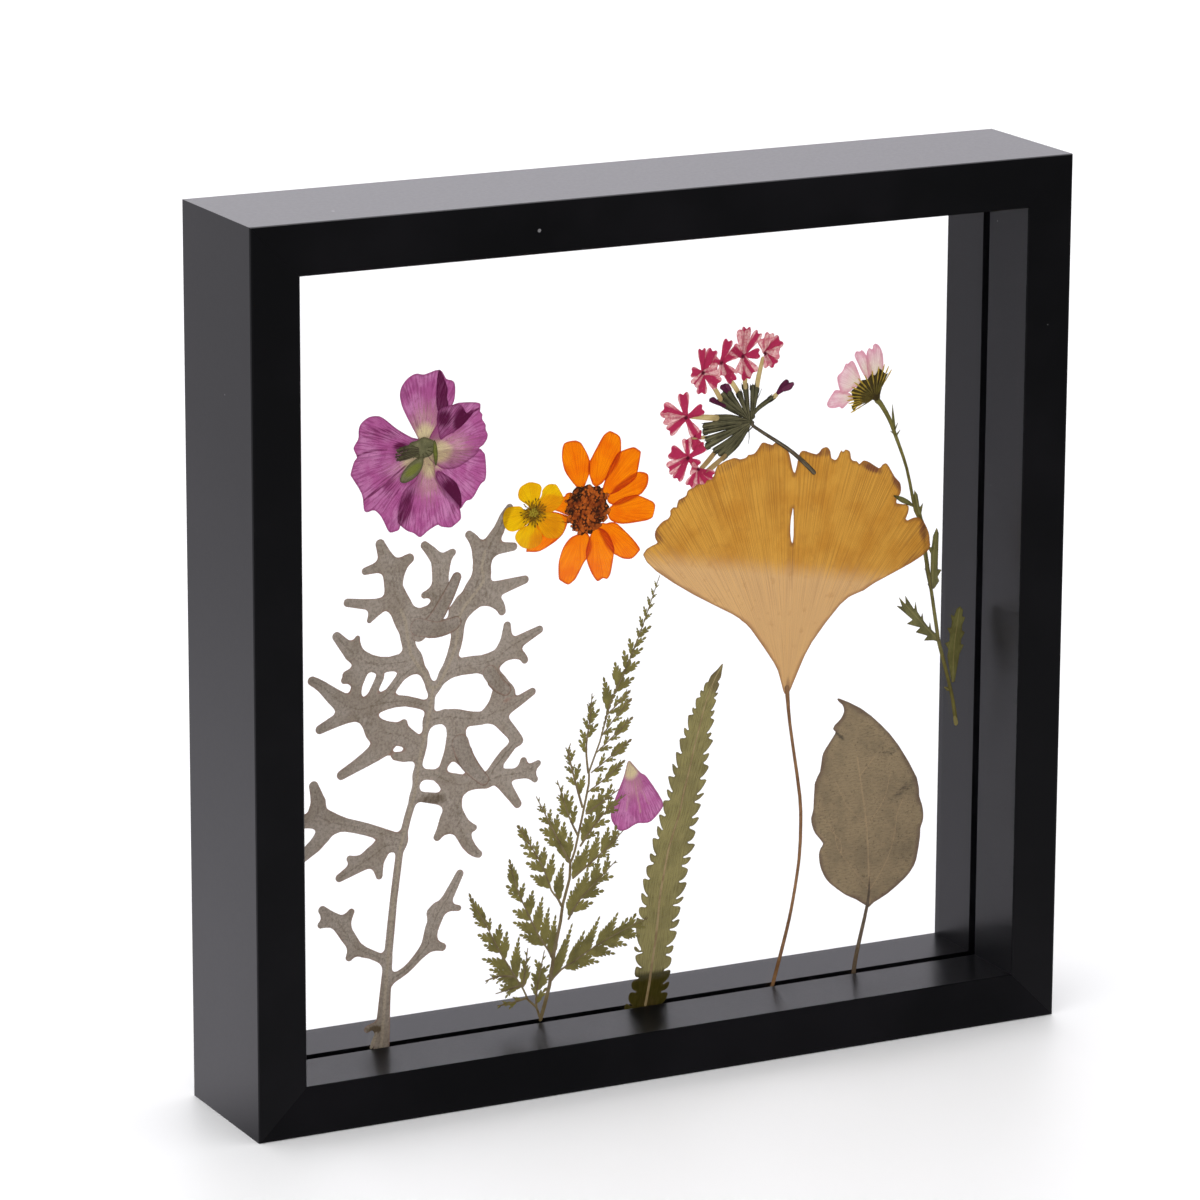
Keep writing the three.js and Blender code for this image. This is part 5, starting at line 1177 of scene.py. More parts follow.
def makeDustyMiller(look):
    felt = pressedMaterial("greyFelt", look["felt"])
    parts, y = startPiece("dusty_miller_leaf")
    least, share = look["tipSwell"]

    # blunt tips: no lobe is narrower than this
    def swell(line):
        line[:, 2] = np.maximum(line[:, 2], least + share * line[:, 2])
        return line

    ribs = [roundLine(line, 2) for line in millerStrokes.values()]
    lobes = [swell(roundLine(line, 2)) for line in millerLobes]
    whole = strokeDistance(ribs + lobes, look["melt"])
    low, high = outlineBox(np.vstack(ribs + lobes))
    low, high = low - 4, high + 4
    low[1] = 11.0
    pale = [(line, 0.8, 0.85) for line in ribs]
    ribbed = [(lobe, 0.36, 0.5) for lobe in lobes if len(lobe) > 6]
    dusk = [[-62, 83, 7, 2.4, 0, 0.7], [-62, 140, 4, 5, 0, 0.4], [-80, 19, 3.4, 1.6, 0, 1.0],
            [-72, 147, 5, 6, 0, 0.3], [-48, 140, 8, 5, 20, 0.35], [-55, 78, 5, 6, 0, 0.35],
            [-82, 108, 6, 5, 0, 0.3], [-45, 150, 5, 8, -30, 0.35]]

    def inside(x, z):
        return np.maximum(whole(x, z) + 0.12, 10.2 - z)

    def shades(x, z):
        return np.maximum(ovals(dusk, x, z), streaks(ribbed, x, z)), x * 0, streaks(pale, x, z)

    def relief(x, z):
        return waves(x, z, 7.0, 0.04) + 0.05 * streaks(pale, x, z)

    def grain(x, z):
        return z, x

    addRegion(parts, inside, low, high, look["cell"], y, grain, shades, relief)
    for number, flap in enumerate(millerFlaps):
        line = swell(roundLine(flap, 3))
        # a little wider than the flap: the outline of its painted shadow
        rim = [[px, pz, half + 0.22] for px, pz, half in line[2:]]
        low, high = outlineBox(line)
        box = (low - 4, high + 4, look["flapCell"])

        def ribShade(x, z, line=line):
            return streaks([(line, 0.36, 0.3)], x, z), x * 0, x * 0

        # the dark sheet behind the flap is painted shadow
        addRegion(parts, strokeDistance([rim], 0.5), *box, y - 0.055, grain, evenShade(0.5))
        addRegion(parts, strokeDistance([line], 0.5), *box, y - 0.07 - 0.01 * (number % 2), grain, ribShade)
    addStrip(parts, [[-81, 14, 0.5], [-80.2, 16, 0.6], [-79.5, 18, 0.3]], y - 0.05, (0, 0, 1.0))
    makePiece("dusty_miller_leaf", parts, [felt])
    print("dusty miller leaf made")


makeDustyMiller(millerLook)

# sword fern: one long blade cut into rounded lobes, with a pale rib
swordLook = {
    "blade": {
        "colour": rgb(148, 138, 86), "cloud": rgb(132, 122, 76), "cloudSize": 7.0,
        "line": rgb(88, 80, 34), "lineLength": 5.0, "lineWidth": 0.5, "lineAmount": 0.45,
        "rim": rgb(84, 72, 44), "rimWidth": 0.4, "rimAmount": 0.6, "shade": rgb(90, 68, 46),
        # the tint is painted shade at the foot of the frond
        "tint": rgb(58, 52, 12), "glow": 0.3, "roughness": 0.7, "bump": 0.5,
    },
    "rib": {"colour": rgb(166, 144, 104), "cloud": rgb(136, 112, 76), "glow": 0.1, "roughness": 0.7},
    "cell": 0.32, "notch": 0.38,
}
swordRib = [
    [4.1, 13.9, 0.42], [5.25, 19.8, 0.4], [6.1, 25.7, 0.38], [7.1, 32.2, 0.36], [7.9, 38.8, 0.34],
    [8.5, 45.3, 0.33], [9.7, 51.9, 0.32], [11, 58.4, 0.3], [12.6, 63.6, 0.28], [14.6, 69.5, 0.26],
    [15.9, 75.4, 0.25], [17.5, 81.3, 0.24], [18.9, 87.2, 0.22], [20.5, 93, 0.2], [22.1, 99, 0.18],
    [24.1, 104.2, 0.15], [26, 108.1, 0.12], [27.9, 110.9, 0.1]]
swordLeft = [
    [-2.1, 15.2], [-0.8, 18.2], [-0.1, 21.4], [1.06, 25.7], [0.87, 29], [0.41, 31.7],
    [1.19, 40.1], [1.98, 43], [2.63, 47.3], [3.16, 51.3], [4.27, 54.8], [5.25, 58.5],
    [6.1, 62.8], [7.6, 66.3], [8.06, 69.5], [9.37, 73.3], [10.48, 76.6], [10.87, 80.3],
    [12.18, 83.9], [13.29, 87.1], [14.42, 90.8], [15.78, 93.9], [17.09, 97.3],
    [18.4, 99.5], [19.51, 101.9], [20.95, 104.2], [22.4, 106.1], [24.4, 108.3]]
swordRight = [
    [11.14, 16.5], [11.66, 19.8], [11.99, 23.1], [12.31, 26.7], [12.97, 30.3],
    [13.95, 34.2], [14.8, 37.8], [15.06, 41.4], [16.11, 44.3], [17.02, 48.3], [17.35, 52.2],
    [18.33, 55.6], [19.57, 59.2], [19.7, 62.9], [20.82, 67], [21.34, 70.7], [22.45, 74],
    [23.1, 77.7], [23.76, 81.5], [23.89, 85.4], [25.07, 89], [24.61, 91.4], [25.39, 94.9],
    [25.52, 97.8], [25.92, 100.6], [26.6, 102.8], [26.9, 105.2], [27.4, 107.4]]


# one side of the fern, from the base up: a notch, a round shoulder and a tip for each lobe
def lobedEdge(tips, rib, notch):
    ends = np.array(tips)
    rib = np.array(rib)[:, :2]
    rows = []
    for i in range(len(ends)):
        below = ends[i - 1] if i else 2 * ends[0] - ends[1]
        step = ends[i] - below
        middle = (ends[i] + below) / 2
        away = rib[np.argmin(np.hypot(*(rib - middle).T))] - middle
        depth = min(max(notch * np.linalg.norm(away), 1.0), 2.7)
        away = away / np.linalg.norm(away)
        sharp = min(max((middle[1] - 30) / 45, 0.0), 1.0)
        for rise, inward, flat in ((0.04, 0.3, 0), (-0.04, 0.8, 0), (0.05, 0.95, 0), (0.2, 0.46, 0.2),
                                   (0.48, 0.08, 0.26), (0.8, -0.04, 0.14)):
            rows.append(below + step * rise + away * depth * (inward + flat * sharp))
        rows.append(ends[i])
    return rows


def makeSwordFern(look):
    blade = pressedMaterial("fernOlive", look["blade"])
    rib = pressedMaterial("fernRib", look["rib"])
    parts, y = startPiece("sword_fern_frond")
    left = lobedEdge(swordLeft, swordRib, look["notch"])
    right = lobedEdge(swordRight, swordRib, look["notch"])
    top = [[26.2, 109.6], [27.9, 111.2], [27.7, 109.2]]
    outline = roundOutline([[3.2, 12.9]] + left + top + right[::-1] + [[5.4, 12.9]], 2)
    ribLine = roundLine(swordRib)
    sideVeins = []
    for tips in (swordLeft, swordRight):
        for tip in tips:
            start = np.interp(tip[1] - 2.6, np.array(swordRib)[:, 1], np.array(swordRib)[:, 0])
            vein = [[start, tip[1] - 2.6], [(start + tip[0]) / 2, tip[1] - 1.6], tip]
            sideVeins.append((vein, 0.34, 0.55))

    def shades(x, z):
        # a brown tip, and painted shade at the foot of the frond
        brown = ovals([[26, 106, 5, 9, 30, 0.5], [5, 14, 5, 4, 0, 0.35], [18, 78, 6, 8, 0, 0.2]], x, z)
        # the foot of the frond, in front of the rail, is painted darker: painted shade
        base = np.clip((24.5 - z) / 2.4, 0, 1)  # the foot of the frond is darker
        return np.maximum(brown, 0.5 * streaks(sideVeins, x, z)), 1.2 * base, x * 0

    def grain(x, z):
        far, along = lineDistance(ribLine, x, z)
        return along + far * 0.6, far

    addSheet(parts, outline, look["cell"], y, grain, shades, rippled(9.0, 0.03))
    addStrip(parts, swordRib, y - 0.03, dome=0.06, slot=1)
    makePiece("sword_fern_frond", parts, [blade, rib])
    print("sword fern made")


makeSwordFern(swordLook)

# lace fern: every branch carries toothed leaflets that end at the tips given beside it
laceLook = {
    "leaf": {
        "colour": rgb(134, 125, 64), "cloud": rgb(112, 104, 52), "cloudSize": 5.0,
        "line": rgb(90, 84, 34), "lineLength": 4.0, "lineWidth": 0.3,
        "lineAmount": 0.4, "rim": rgb(84, 74, 40), "rimWidth": 0.16, "rimAmount": 0.4,
        "shade": rgb(86, 78, 44), "speck": rgb(88, 84, 38), "speckSize": 0.5,
        "speckAmount": 0.3, "glow": 0.22, "roughness": 0.7, "bump": 0.4,
    },
    "rib": {"colour": rgb(128, 112, 78), "cloud": rgb(106, 88, 58), "glow": 0.08, "roughness": 0.7},
    "angle": 34.0, "gap": 4.2, "halfWidth": 0.29, "lobesPerLength": 0.64,
    "lobe": ((-0.42, 0.3, 0), (-0.16, 0.82, 0.33), (0.1, 1, 1.1), (0.24, 0.62, 0.88)),
}
laceRachis = [
    [-29.1, 14.7], [-26.3, 24.3], [-24.9, 33.8], [-22.9, 42.5], [-22.2, 47.5],
    [-20.1, 54.7], [-19.9, 59.3], [-18.5, 62.5], [-14.2, 81.5], [-14.2, 84.8],
    [-10.8, 93.2], [-8.4, 101.6], [-6.4, 106.4], [0.2, 119.6], [7.6, 138.8]]
laceBranches = [
    {"axis": [[-29.5, 15.6], [-30.4, 18.4], [-33.1, 21.1], [-34.5, 24.3],
              [-41.7, 36.1], [-45.8, 44.3], [-49.5, 50.6], [-51.2, 54.5]],
     "tips": [[-42, 28.4], [-47.2, 35], [-45, 31.6], [-48.5, 42.2], [-46.6, 39],
              [-49.5, 45.9], [-50, 47.7], [-51, 50.2], [-46.5, 48.1], [-44.7, 46.5],
              [-41.6, 44.3], [-48.4, 51], [-39.5, 41.8], [-35.8, 39.7]]},
    {"axis": [[-34.9, 25.6], [-43, 24.2]], "tips": [[-39, 27.7], [-41.6, 26.6], [-40, 22.6]]},
    {"axis": [[-33.4, 21.6], [-38, 20.8], [-42.6, 20.6]], "tips": [[-37.6, 22.4], [-38.8, 19.2]]},
    {"axis": [[-37.4, 28.4], [-42, 29.2], [-46.3, 28.4]], "tips": [[-43, 31], [-42.8, 27.2]]},
    {"axis": [[-34.5, 25.2], [-33.1, 36.1]],
     "tips": [[-35.4, 33.6], [-32.4, 33.4], [-35, 30.4], [-32.4, 30.6]]},
    {"axis": [[-30.4, 18.6], [-30.2, 24], [-27.9, 34.7]],
     "tips": [[-30.8, 32.4], [-26.3, 30.2], [-31.8, 28.6], [-26.2, 27.4], [-32, 25.4], [-27.2, 23.6]]},
    {"axis": [[-25.4, 32], [-26.7, 34.7], [-29.9, 39.7], [-34.5, 49.3], [-37.2, 56.1], [-38.8, 62.7]],
     "tips": [[-35.6, 40.4], [-37.6, 44.3], [-37.7, 47.7], [-39.1, 53.2],
              [-39.8, 55.2], [-39.4, 57.9], [-34.2, 55.2], [-36.2, 57.6],
              [-31.5, 52.7], [-28.5, 50.4], [-26.5, 47], [-24.4, 44.5], [-24.4, 41]]},
    {"axis": [[-22.6, 47], [-24, 49.7], [-25.8, 52], [-28.5, 59.3], [-34.9, 70.2], [-36.4, 72.1]],
     "tips": [[-32.3, 57.2], [-33.6, 61], [-34.4, 64], [-35.4, 66.4], [-32.2, 68.4], [-33.6, 70.2],
              [-30.1, 66.8], [-27.9, 64.8], [-25.1, 62.5], [-22, 59.5], [-22.6, 55.4]]},
    {"axis": [[-20.1, 59.3], [-30.5, 79.8]],
     "tips": [[-29.7, 73.4], [-29.4, 70.2], [-27.9, 67.2], [-30.2, 76.2],
              [-27.9, 77.5], [-26, 75.6], [-23.8, 73.8], [-21.7, 71.3], [-19.6, 68.2]]},
    {"axis": [[-17.6, 67], [-20.4, 72.9], [-24, 83.6]],
     "tips": [[-24.2, 78.8], [-24, 75.4], [-20.6, 80.4], [-22.2, 82], [-19.2, 78.6], [-18.1, 75.6]]},
    {"axis": [[-16.2, 75], [-20.4, 90], [-19.9, 93.8]],
     "tips": [[-21.8, 90.6], [-21.7, 87.4], [-21.2, 84.2], [-18.5, 91.7], [-16.9, 87.6], [-15.6, 84]]},
    {"axis": [[-14.4, 84.8], [-15, 90], [-14.8, 95], [-13.9, 100], [-13.3, 107.4]],
     "tips": [[-17.3, 94.5], [-16.9, 97.4], [-16, 100.6],
              [-14.8, 104.5], [-12, 105.4], [-11, 102.6], [-11.4, 98.4]]},
    {"axis": [[-14.9, 72.9], [-4.5, 78.8]],
     "tips": [[-12.6, 78], [-9.6, 79.4], [-7, 80.4], [-9, 73.9], [-6.4, 76.2]]},
    {"axis": [[-16.7, 63.8], [-12.6, 69], [-8, 73.4], [-2.6, 76.8]],
     "tips": [[-15.2, 71.6], [-13.3, 73.6], [-10.4, 75.4], [-7, 76.8], [-11, 67], [-7.6, 69.8], [-5, 72.6]]},
    {"axis": [[-19, 54.7], [-9, 61.6], [-3.3, 66.5]],
     "tips": [[-17.4, 62.4], [-14.2, 65], [-11, 67], [-8, 68],
              [-5.6, 68.2], [-11.4, 57.6], [-7.6, 60], [-4.8, 62.6]]},
    {"axis": [[-20.4, 42.9], [-16.6, 48.4], [-5.6, 57.9]],
     "tips": [[-19.6, 51], [-17.2, 54.4], [-14.4, 57.2], [-11, 59.4],
              [-8, 59.6], [-12.8, 46.6], [-9.4, 49.6], [-6.4, 53.4]]},
    {"axis": [[-26.3, 25.2], [-22.6, 28.4], [-18.5, 30.2], [-15.4, 32], [-6.3, 36.1], [4.6, 39.7]],
     "tips": [[-23, 34], [-19.2, 41.3], [-21.6, 37], [-15.4, 38.7], [-17, 34.7], [-10.6, 42.2],
              [-12.8, 38.2], [-4.9, 42.5], [-7.4, 40], [0.8, 41.5], [-1.8, 40.6], [-16, 28.2],
              [-10.8, 28.9], [-13, 30.8], [-5.8, 30.6], [-8, 32.4], [-2, 32.6], [2, 34.6], [3.6, 37]]},
]
laceCrown = {
    "left": [[-9.7, 111.6], [-6.2, 115.5], [-3.5, 118.6], [-1.8, 121.8], [0.6, 124.6],
             [1.5, 127.8], [2.7, 130.5], [3.9, 133.2], [5.1, 135.4], [6.1, 137.4]],
    "right": [[7.4, 136.2], [6.7, 133.6], [6, 131], [5.2, 128.2], [5, 124.6],
              [3.4, 121.6], [2.5, 118.6], [1.5, 114.8], [-0.2, 110.4]],
    "broad": [[[-8.6, 100.6], [-1.4, 106.8]],
              [[-10.4, 94.6], [-5.6, 100], [-1, 104.4]], [[-11.8, 90.2], [-0.6, 99]],
              [[-13.4, 84.6], [-1, 92.6]], [[-14.6, 79], [-9, 82.4], [-3, 86.8]]],
}


# the place at a distance along a line, the way it heads there, and the whole length
def pointAlong(line, distance):
    run = np.concatenate([[0], np.cumsum(np.hypot(*np.diff(line, axis=0).T))])
    back, place, ahead = [np.array([np.interp(distance + more, run, line[:, k]) for k in (0, 1)])
                          for more in (-0.1, 0, 0.1)]
    return place, (ahead - back) / (np.linalg.norm(ahead - back) + 1e-9), run[-1]


# one leaflet of paired lobes that point forward
def laceSpray(parts, points, look, y, widest=1.9):
    line = roundLine([point[:2] for point in points], 6)
    total = pointAlong(line, 0)[2]
    wide = min(look["halfWidth"] * total, widest)
    lobes = max(round(total * look["lobesPerLength"]), 3)
    rows = [(share + shift / lobes, wide * min(0.35 + 2.4 * share, 1.3 - 1.2 * share), reach, forward)
            for share in (np.arange(lobes) + 0.4) / lobes for shift, reach, forward in look["lobe"]]
    rows.append((1.0, 0.12, 1.0, 2.5))
    for side in (1, -1):
        spots = []
        for share, out, reach, forward in rows:
            place, way = pointAlong(line, share * total)[:2]
            rim = place + out * (reach * side * np.array([-way[1], way[0]]) + forward * way)
            spots.append((*place, y - 0.003, share * total, 0, out))
            spots.append((*rim, y + 0.01, share * total, out * side, 0))
        x, z, height, *grain = np.array(spots).T
        first = addPoints(parts, x, height, z, grain, np.zeros((3, len(x))))
        addFaces(parts, [(i, i + 2, i + 3, i + 1)[::-side] for i in range(0, len(x) - 2, 2)], first)


# a leaflet that leaves its branch at an angle and ends at its tip
def laceLeaflet(parts, line, tip, look, y):
    tip = np.array(tip, dtype=float)
    far, along = lineDistance(line, tip[:1], tip[1:])
    back = far[0] / math.tan(math.radians(look["angle"]))
    base, way = pointAlong(line, max(along[0] - back, 0))[:2]
    reach = tip - base
    bend = base + reach * 0.5 + (way * np.linalg.norm(reach) - reach) * 0.08
    laceSpray(parts, [base, bend, tip], look, y)


# leaflets all along a branch, alternately left and right, shorter towards its end
def laceLeaflets(parts, line, long, look, y, start=0.0):
    total = pointAlong(line, 0)[2]
    for number, along in enumerate(np.arange(1.4 + start * total, total - 0.8, look["gap"] / 2)):
        base, way = pointAlong(line, along)[:2]
        turn = math.radians(look["angle"] + 4) * (1 if number % 2 else -1)
        c, s = math.cos(turn), math.sin(turn)
        way = np.array([way[0] * c - way[1] * s, way[0] * s + way[1] * c])
        tip = base + way * long * (1.05 - 0.75 * along / total)
        laceLeaflet(parts, line, tip, look, y + 0.008 * (number % 3 - 1))


# the same line with a half width that narrows towards its end
def tapered(points, wide, loss):
    last = len(points) - 1
    return [[x, z, wide - loss * i / last] for i, (x, z) in enumerate(points)]


def makeLaceFern(look):
    leaf = pressedMaterial("laceOlive", look["leaf"])
    rib = pressedMaterial("laceRib", look["rib"])
    parts, y = startPiece("lace_fern_frond")
    rachis = roundLine(laceRachis, 2)
    addStrip(parts, tapered(laceRachis, 0.62, 0.5), y - 0.02, dome=0.06, slot=1, steps=2)
    level = 0
    for branch in laceBranches:
        line = roundLine(branch["axis"], 3)
        addStrip(parts, tapered(branch["axis"], 0.36, 0.22), y - 0.01, dome=0.04, slot=1, steps=2)
        for tip in branch["tips"]:
            level = (level + 1) % 5
            laceLeaflet(parts, line, tip, look, y + 0.008 * (level - 2))
        laceLeaflets(parts, line, 3.2, look, y, 0.5)
        laceSpray(parts, line[-max(4, len(line) // 3)::2], look, y)
    for side in ("left", "right"):
        for tip in laceCrown[side]:
            laceLeaflet(parts, rachis, tip, look, y + 0.01)
    for axis in laceCrown["broad"]:
        line = roundLine(axis, 4)
        addStrip(parts, tapered(axis, 0.2, 0.0), y - 0.01, dome=0.03, slot=1)
        laceLeaflets(parts, line, 3.8, look, y)
        laceSpray(parts, line[len(line) // 2::2], look, y)
    laceSpray(parts, rachis[-9::2], look, y, 0.7)
    makePiece("lace_fern_frond", parts, [leaf, rib])
    print("lace fern made")


makeLaceFern(laceLook)

# verbena: calyxes fan out from the stem, each with a cream tube and a striped floret
verbenaLook = {
    "green": {
        "colour": rgb(78, 76, 54), "cloud": rgb(56, 54, 38), "cloudSize": 3.0,
        "line": rgb(136, 128, 92), "lineLength": 9.0, "lineWidth": 0.5, "lineAmount": 0.65,
        "rim": rgb(26, 24, 18), "rimWidth": 0.34, "rimAmount": 0.85, "shade": rgb(30, 27, 20),
        "tint": rgb(116, 90, 84), "glow": 0.1, "roughness": 0.75, "bump": 0.8,
    },
    "tube": {
        "colour": rgb(212, 190, 134), "cloud": rgb(196, 170, 112), "cloudSize": 3.0,
        "line": rgb(178, 148, 96), "lineLength": 8.0, "lineWidth": 0.3,
        "lineAmount": 0.5, "rim": rgb(170, 140, 92), "rimWidth": 0.35,
        "shade": rgb(140, 108, 66), "glow": 0.3, "roughness": 0.65,
    },
    "bud": {
        "colour": rgb(104, 36, 68), "cloud": rgb(78, 26, 54), "cloudSize": 1.6, "line": rgb(60, 18, 42),
        "lineLength": 3.0, "lineWidth": 0.3, "lineAmount": 0.5, "rim": rgb(58, 18, 40), "rimWidth": 0.4,
        "tint": rgb(132, 64, 96), "glow": 0.2, "roughness": 0.6, "bump": 0.7,
    },
    "floret": {
        "colour": rgb(252, 212, 204), "cloud": rgb(228, 138, 150), "cloudSize": 0.8,
        "line": rgb(206, 84, 108), "lineLength": 5.0, "lineWidth": 0.5,
        "lineAmount": 0.7, "rim": rgb(196, 88, 104), "rimWidth": 0.3, "rimAmount": 0.5,
        "shade": rgb(182, 46, 84), "vein": rgb(104, 22, 46), "speck": rgb(206, 96, 116),
        "speckSize": 0.7, "speckAmount": 0.6, "glow": 0.3, "roughness": 0.6, "bump": 0.5,
    },
    "cell": 0.3,
}
verbenaStem = [[36.4, 179.6, 0.5], [37.1, 178.2, 0.46], [47.1, 171.4, 0.55],
               [52.8, 166.6, 0.65], [56.2, 163.2, 0.66]]
verbenaCalyxes = [
    [[35.4, 180.4, 0.3], [26, 186.9, 0.8]], [[35.2, 180.6, 0.3], [27.2, 188.2, 0.95]],
    [[35, 180.6, 0.3], [29.2, 188.4, 0.9]], [[35.2, 180.6, 0.3], [32.2, 188, 0.95]],
    [[35.4, 180.5, 0.4], [34, 190.2, 1.0]], [[36, 180.6, 0.4], [36.4, 189.6, 0.8]],
    [[36.4, 180.8, 0.4], [37.6, 188.8, 0.8]],
    [[36.2, 181.4, 0.4], [38.4, 183.6, 0.7], [42.2, 185.8, 0.8]],
    [[35.4, 180.2, 0.4], [29.6, 181.6, 0.9], [24.6, 182, 1.0]],
    [[35.2, 179.8, 0.4], [28, 180.2, 0.9], [21.6, 180, 1.0]],
    [[35.2, 179.6, 0.4], [21.5, 178.4, 0.9]], [[35.2, 179.4, 0.4], [22.4, 176.2, 0.9]],
    [[35, 179.2, 0.4], [22.3, 174.2, 0.9]], [[35, 179, 0.4], [29, 174.8, 1.0], [25, 172.8, 1.0]],
    [[35.2, 178.8, 0.4], [30.6, 174.6, 1.0], [26.5, 171.8, 1.0]],
    [[35.4, 178.6, 0.4], [31.6, 173.9, 0.9], [27.6, 170.9, 0.9]],
]
verbenaHairs = [[[37.4, 185.4, 0.12], [38.4, 187.2, 0.12], [39.2, 188.9, 0.06]],
                [[35.3, 177.6, 0.14], [35.4, 175.4, 0.12], [35.2, 173.6, 0.06]],
                [[36.6, 178.4, 0.2], [35, 177.2, 0.2], [34.2, 176.6, 0.1]],
                [[34.6, 182.6, 0.16], [33.6, 182.9, 0.14], [33, 182.4, 0.1]]]
verbenaTubes = {
    1: [[25, 182, 0.9], [21, 182.6, 0.8], [16.6, 183.2, 0.55]],
    2: [[22.4, 176.6, 0.5], [20.3, 176.8, 0.5], [17.8, 176.8, 0.4]],
    3: [[25.2, 172.8, 0.7], [22.6, 170, 0.8], [20.3, 167.9, 0.7]],
    4: [[27.8, 171, 0.6], [25, 169, 0.8], [22.4, 167.2, 0.8]],
    5: [[26.2, 187.2, 0.7], [25.2, 189, 0.7], [23.9, 191, 0.6]],
    6: [[32.4, 187.8, 0.7], [31, 190, 0.7], [29.4, 192.2, 0.7]],
    7: [[34, 189.8, 0.6], [33.8, 191.4, 0.7], [34, 193.2, 0.7]],
    8: [[37.6, 188.6, 0.8], [38.4, 192.8, 0.75], [39.6, 197.4, 0.6]],
}
# florets: centre, then petals as tip x, tip z, half width, half width of the crimson stripe, crimson share
verbenaFlorets = {
    1: {"centre": (15.4, 183), "petals": [
        [14.4, 190.2, 1.5, 1.0, 1.0], [7.9, 186.4, 1.9, 1.0, 0.85], [8.3, 183.4, 1.5, 0.3, 0.35],
        [9.9, 179.5, 1.5, 0.8, 0.9], [20.8, 185.2, 1.4, 1.3, 1.0], [18.6, 177.8, 1.4, 0.7, 0.85]]},
    2: {"centre": (18.1, 177.6), "petals": [
        [19.3, 173.8, 1.5, 1.2, 1.0], [16.4, 175, 1.1, 1.0, 1.0], [20.6, 177.6, 1.2, 1.0, 1.0]]},
    3: {"centre": (16.2, 171.4), "petals": [
        [15.8, 177.2, 1.3, 0.5, 0.75], [10.5, 174, 1.7, 1.3, 1.0], [9.9, 168.8, 1.7, 0.6, 0.7],
        [12.6, 165.6, 1.5, 1.0, 0.9], [21.6, 174.6, 1.3, 1.2, 1.0], [19.6, 168.8, 1.3, 1.0, 1.0]]},
    4: {"centre": (19.4, 168), "petals": [
        [16.5, 163.4, 1.4, 0.8, 0.9], [19.5, 163.5, 1.4, 0.4, 0.7],
        [22.3, 164.2, 1.4, 0.9, 0.95], [24.2, 165.6, 1.2, 0.8, 0.9], [17, 168.6, 1.6, 0.4, 0.6]]},
    5: {"centre": (20.6, 195.2), "petals": [
        [16.9, 195.8, 1.3, 0.9, 1.0], [20.2, 202.2, 1.1, 0.8, 1.0],
        [23.8, 201.6, 1.5, 1.1, 1.0], [20.2, 189.2, 1.4, 0.9, 1.0],
        [25.6, 191.4, 1.7, 0.9, 1.0], [25.4, 196, 1.6, 0.3, 0.5], [17.6, 192, 1.3, 0.3, 0.6]]},
    6: {"centre": (26.5, 197.4), "petals": [
        [28.9, 203.8, 1.3, 1.0, 1.0], [32.6, 200.8, 1.6, 0.8, 0.95], [29.8, 193.4, 1.6, 0.9, 0.9],
        [30.4, 191.6, 1.3, 1.2, 1.0], [26.6, 193.6, 1.3, 0.3, 0.4], [23.2, 198.6, 1.4, 0.6, 0.8]]},
    7: {"centre": (33, 198.7), "petals": [
        [34.2, 207, 1.3, 0.9, 1.0], [38.2, 205.2, 1.3, 0.7, 0.9], [33.3, 206.4, 1.9, 0.4, 0.4],
        [38.4, 199.2, 1.3, 1.1, 1.0], [34.4, 191.9, 1.3, 1.1, 1.0], [36.6, 193.4, 1.7, 0.5, 0.85],
        [31.6, 193.8, 1.1, 0.2, 0.3], [29.6, 201.4, 1.6, 0.8, 0.85]]},
    8: {"centre": (40.3, 198.7), "petals": [
        [39.4, 203.4, 1.5, 0.4, 0.4], [41.8, 204.6, 1.3, 0.3, 0.35], [45.2, 202.4, 1.7, 1.1, 1.0],
        [45, 198.6, 1.6, 0.2, 0.2], [43.6, 195.2, 1.3, 1.0, 1.0], [41.4, 194.8, 1.2, 0.3, 0.4]]},
}


# the way from one point to another, the way to its left, and the distance
def headings(start, end):
    way = np.array([end[0] - start[0], end[1] - start[1]])
    length = np.linalg.norm(way)
    way = way / length
    return way, np.array([-way[1], way[0]]), length


# a petal that widens to a notched end
def notchedPetal(centre, petal):
    axis, side, length = headings(centre, petal)
    wide = petal[2]
    shape = [[0.0, 0.4], [0.3, 0.6], [0.6, 1.0], [0.84, 1.2], [0.97, 1.0], [1.0, 0.6], [0.93, 0.14]]
    start = np.array(centre)
    left = [start + axis * length * a + side * wide * b for a, b in shape]
    right = [start + axis * length * a - side * wide * b for a, b in shape[::-1]]
    return left + right


def addFloret(parts, floret, look, y):
    centre = floret["centre"]
    for number, petal in enumerate(floret["petals"]):
        outline = roundOutline(notchedPetal(centre, petal), 2)
        start, tip = np.array(centre), np.array(petal[:2])
        stripe = [centre, (start + tip) / 2, tip + (tip - start) * 0.1]

        def shades(x, z, petal=petal, stripe=stripe):
            red = streaks([(stripe, petal[3] * 1.6, petal[4] * 1.25)], x, z) + petal[4] * 0.18
            return red, x * 0, ovals([[*centre, 0.9, 0.9, 0, 0.9]], x, z)

        level = y - 0.012 * number + 0.03
        addSheet(parts, outline, look["cell"], level, fanGrain(centre, 5.0), shades, rippled(3.2, 0.02))


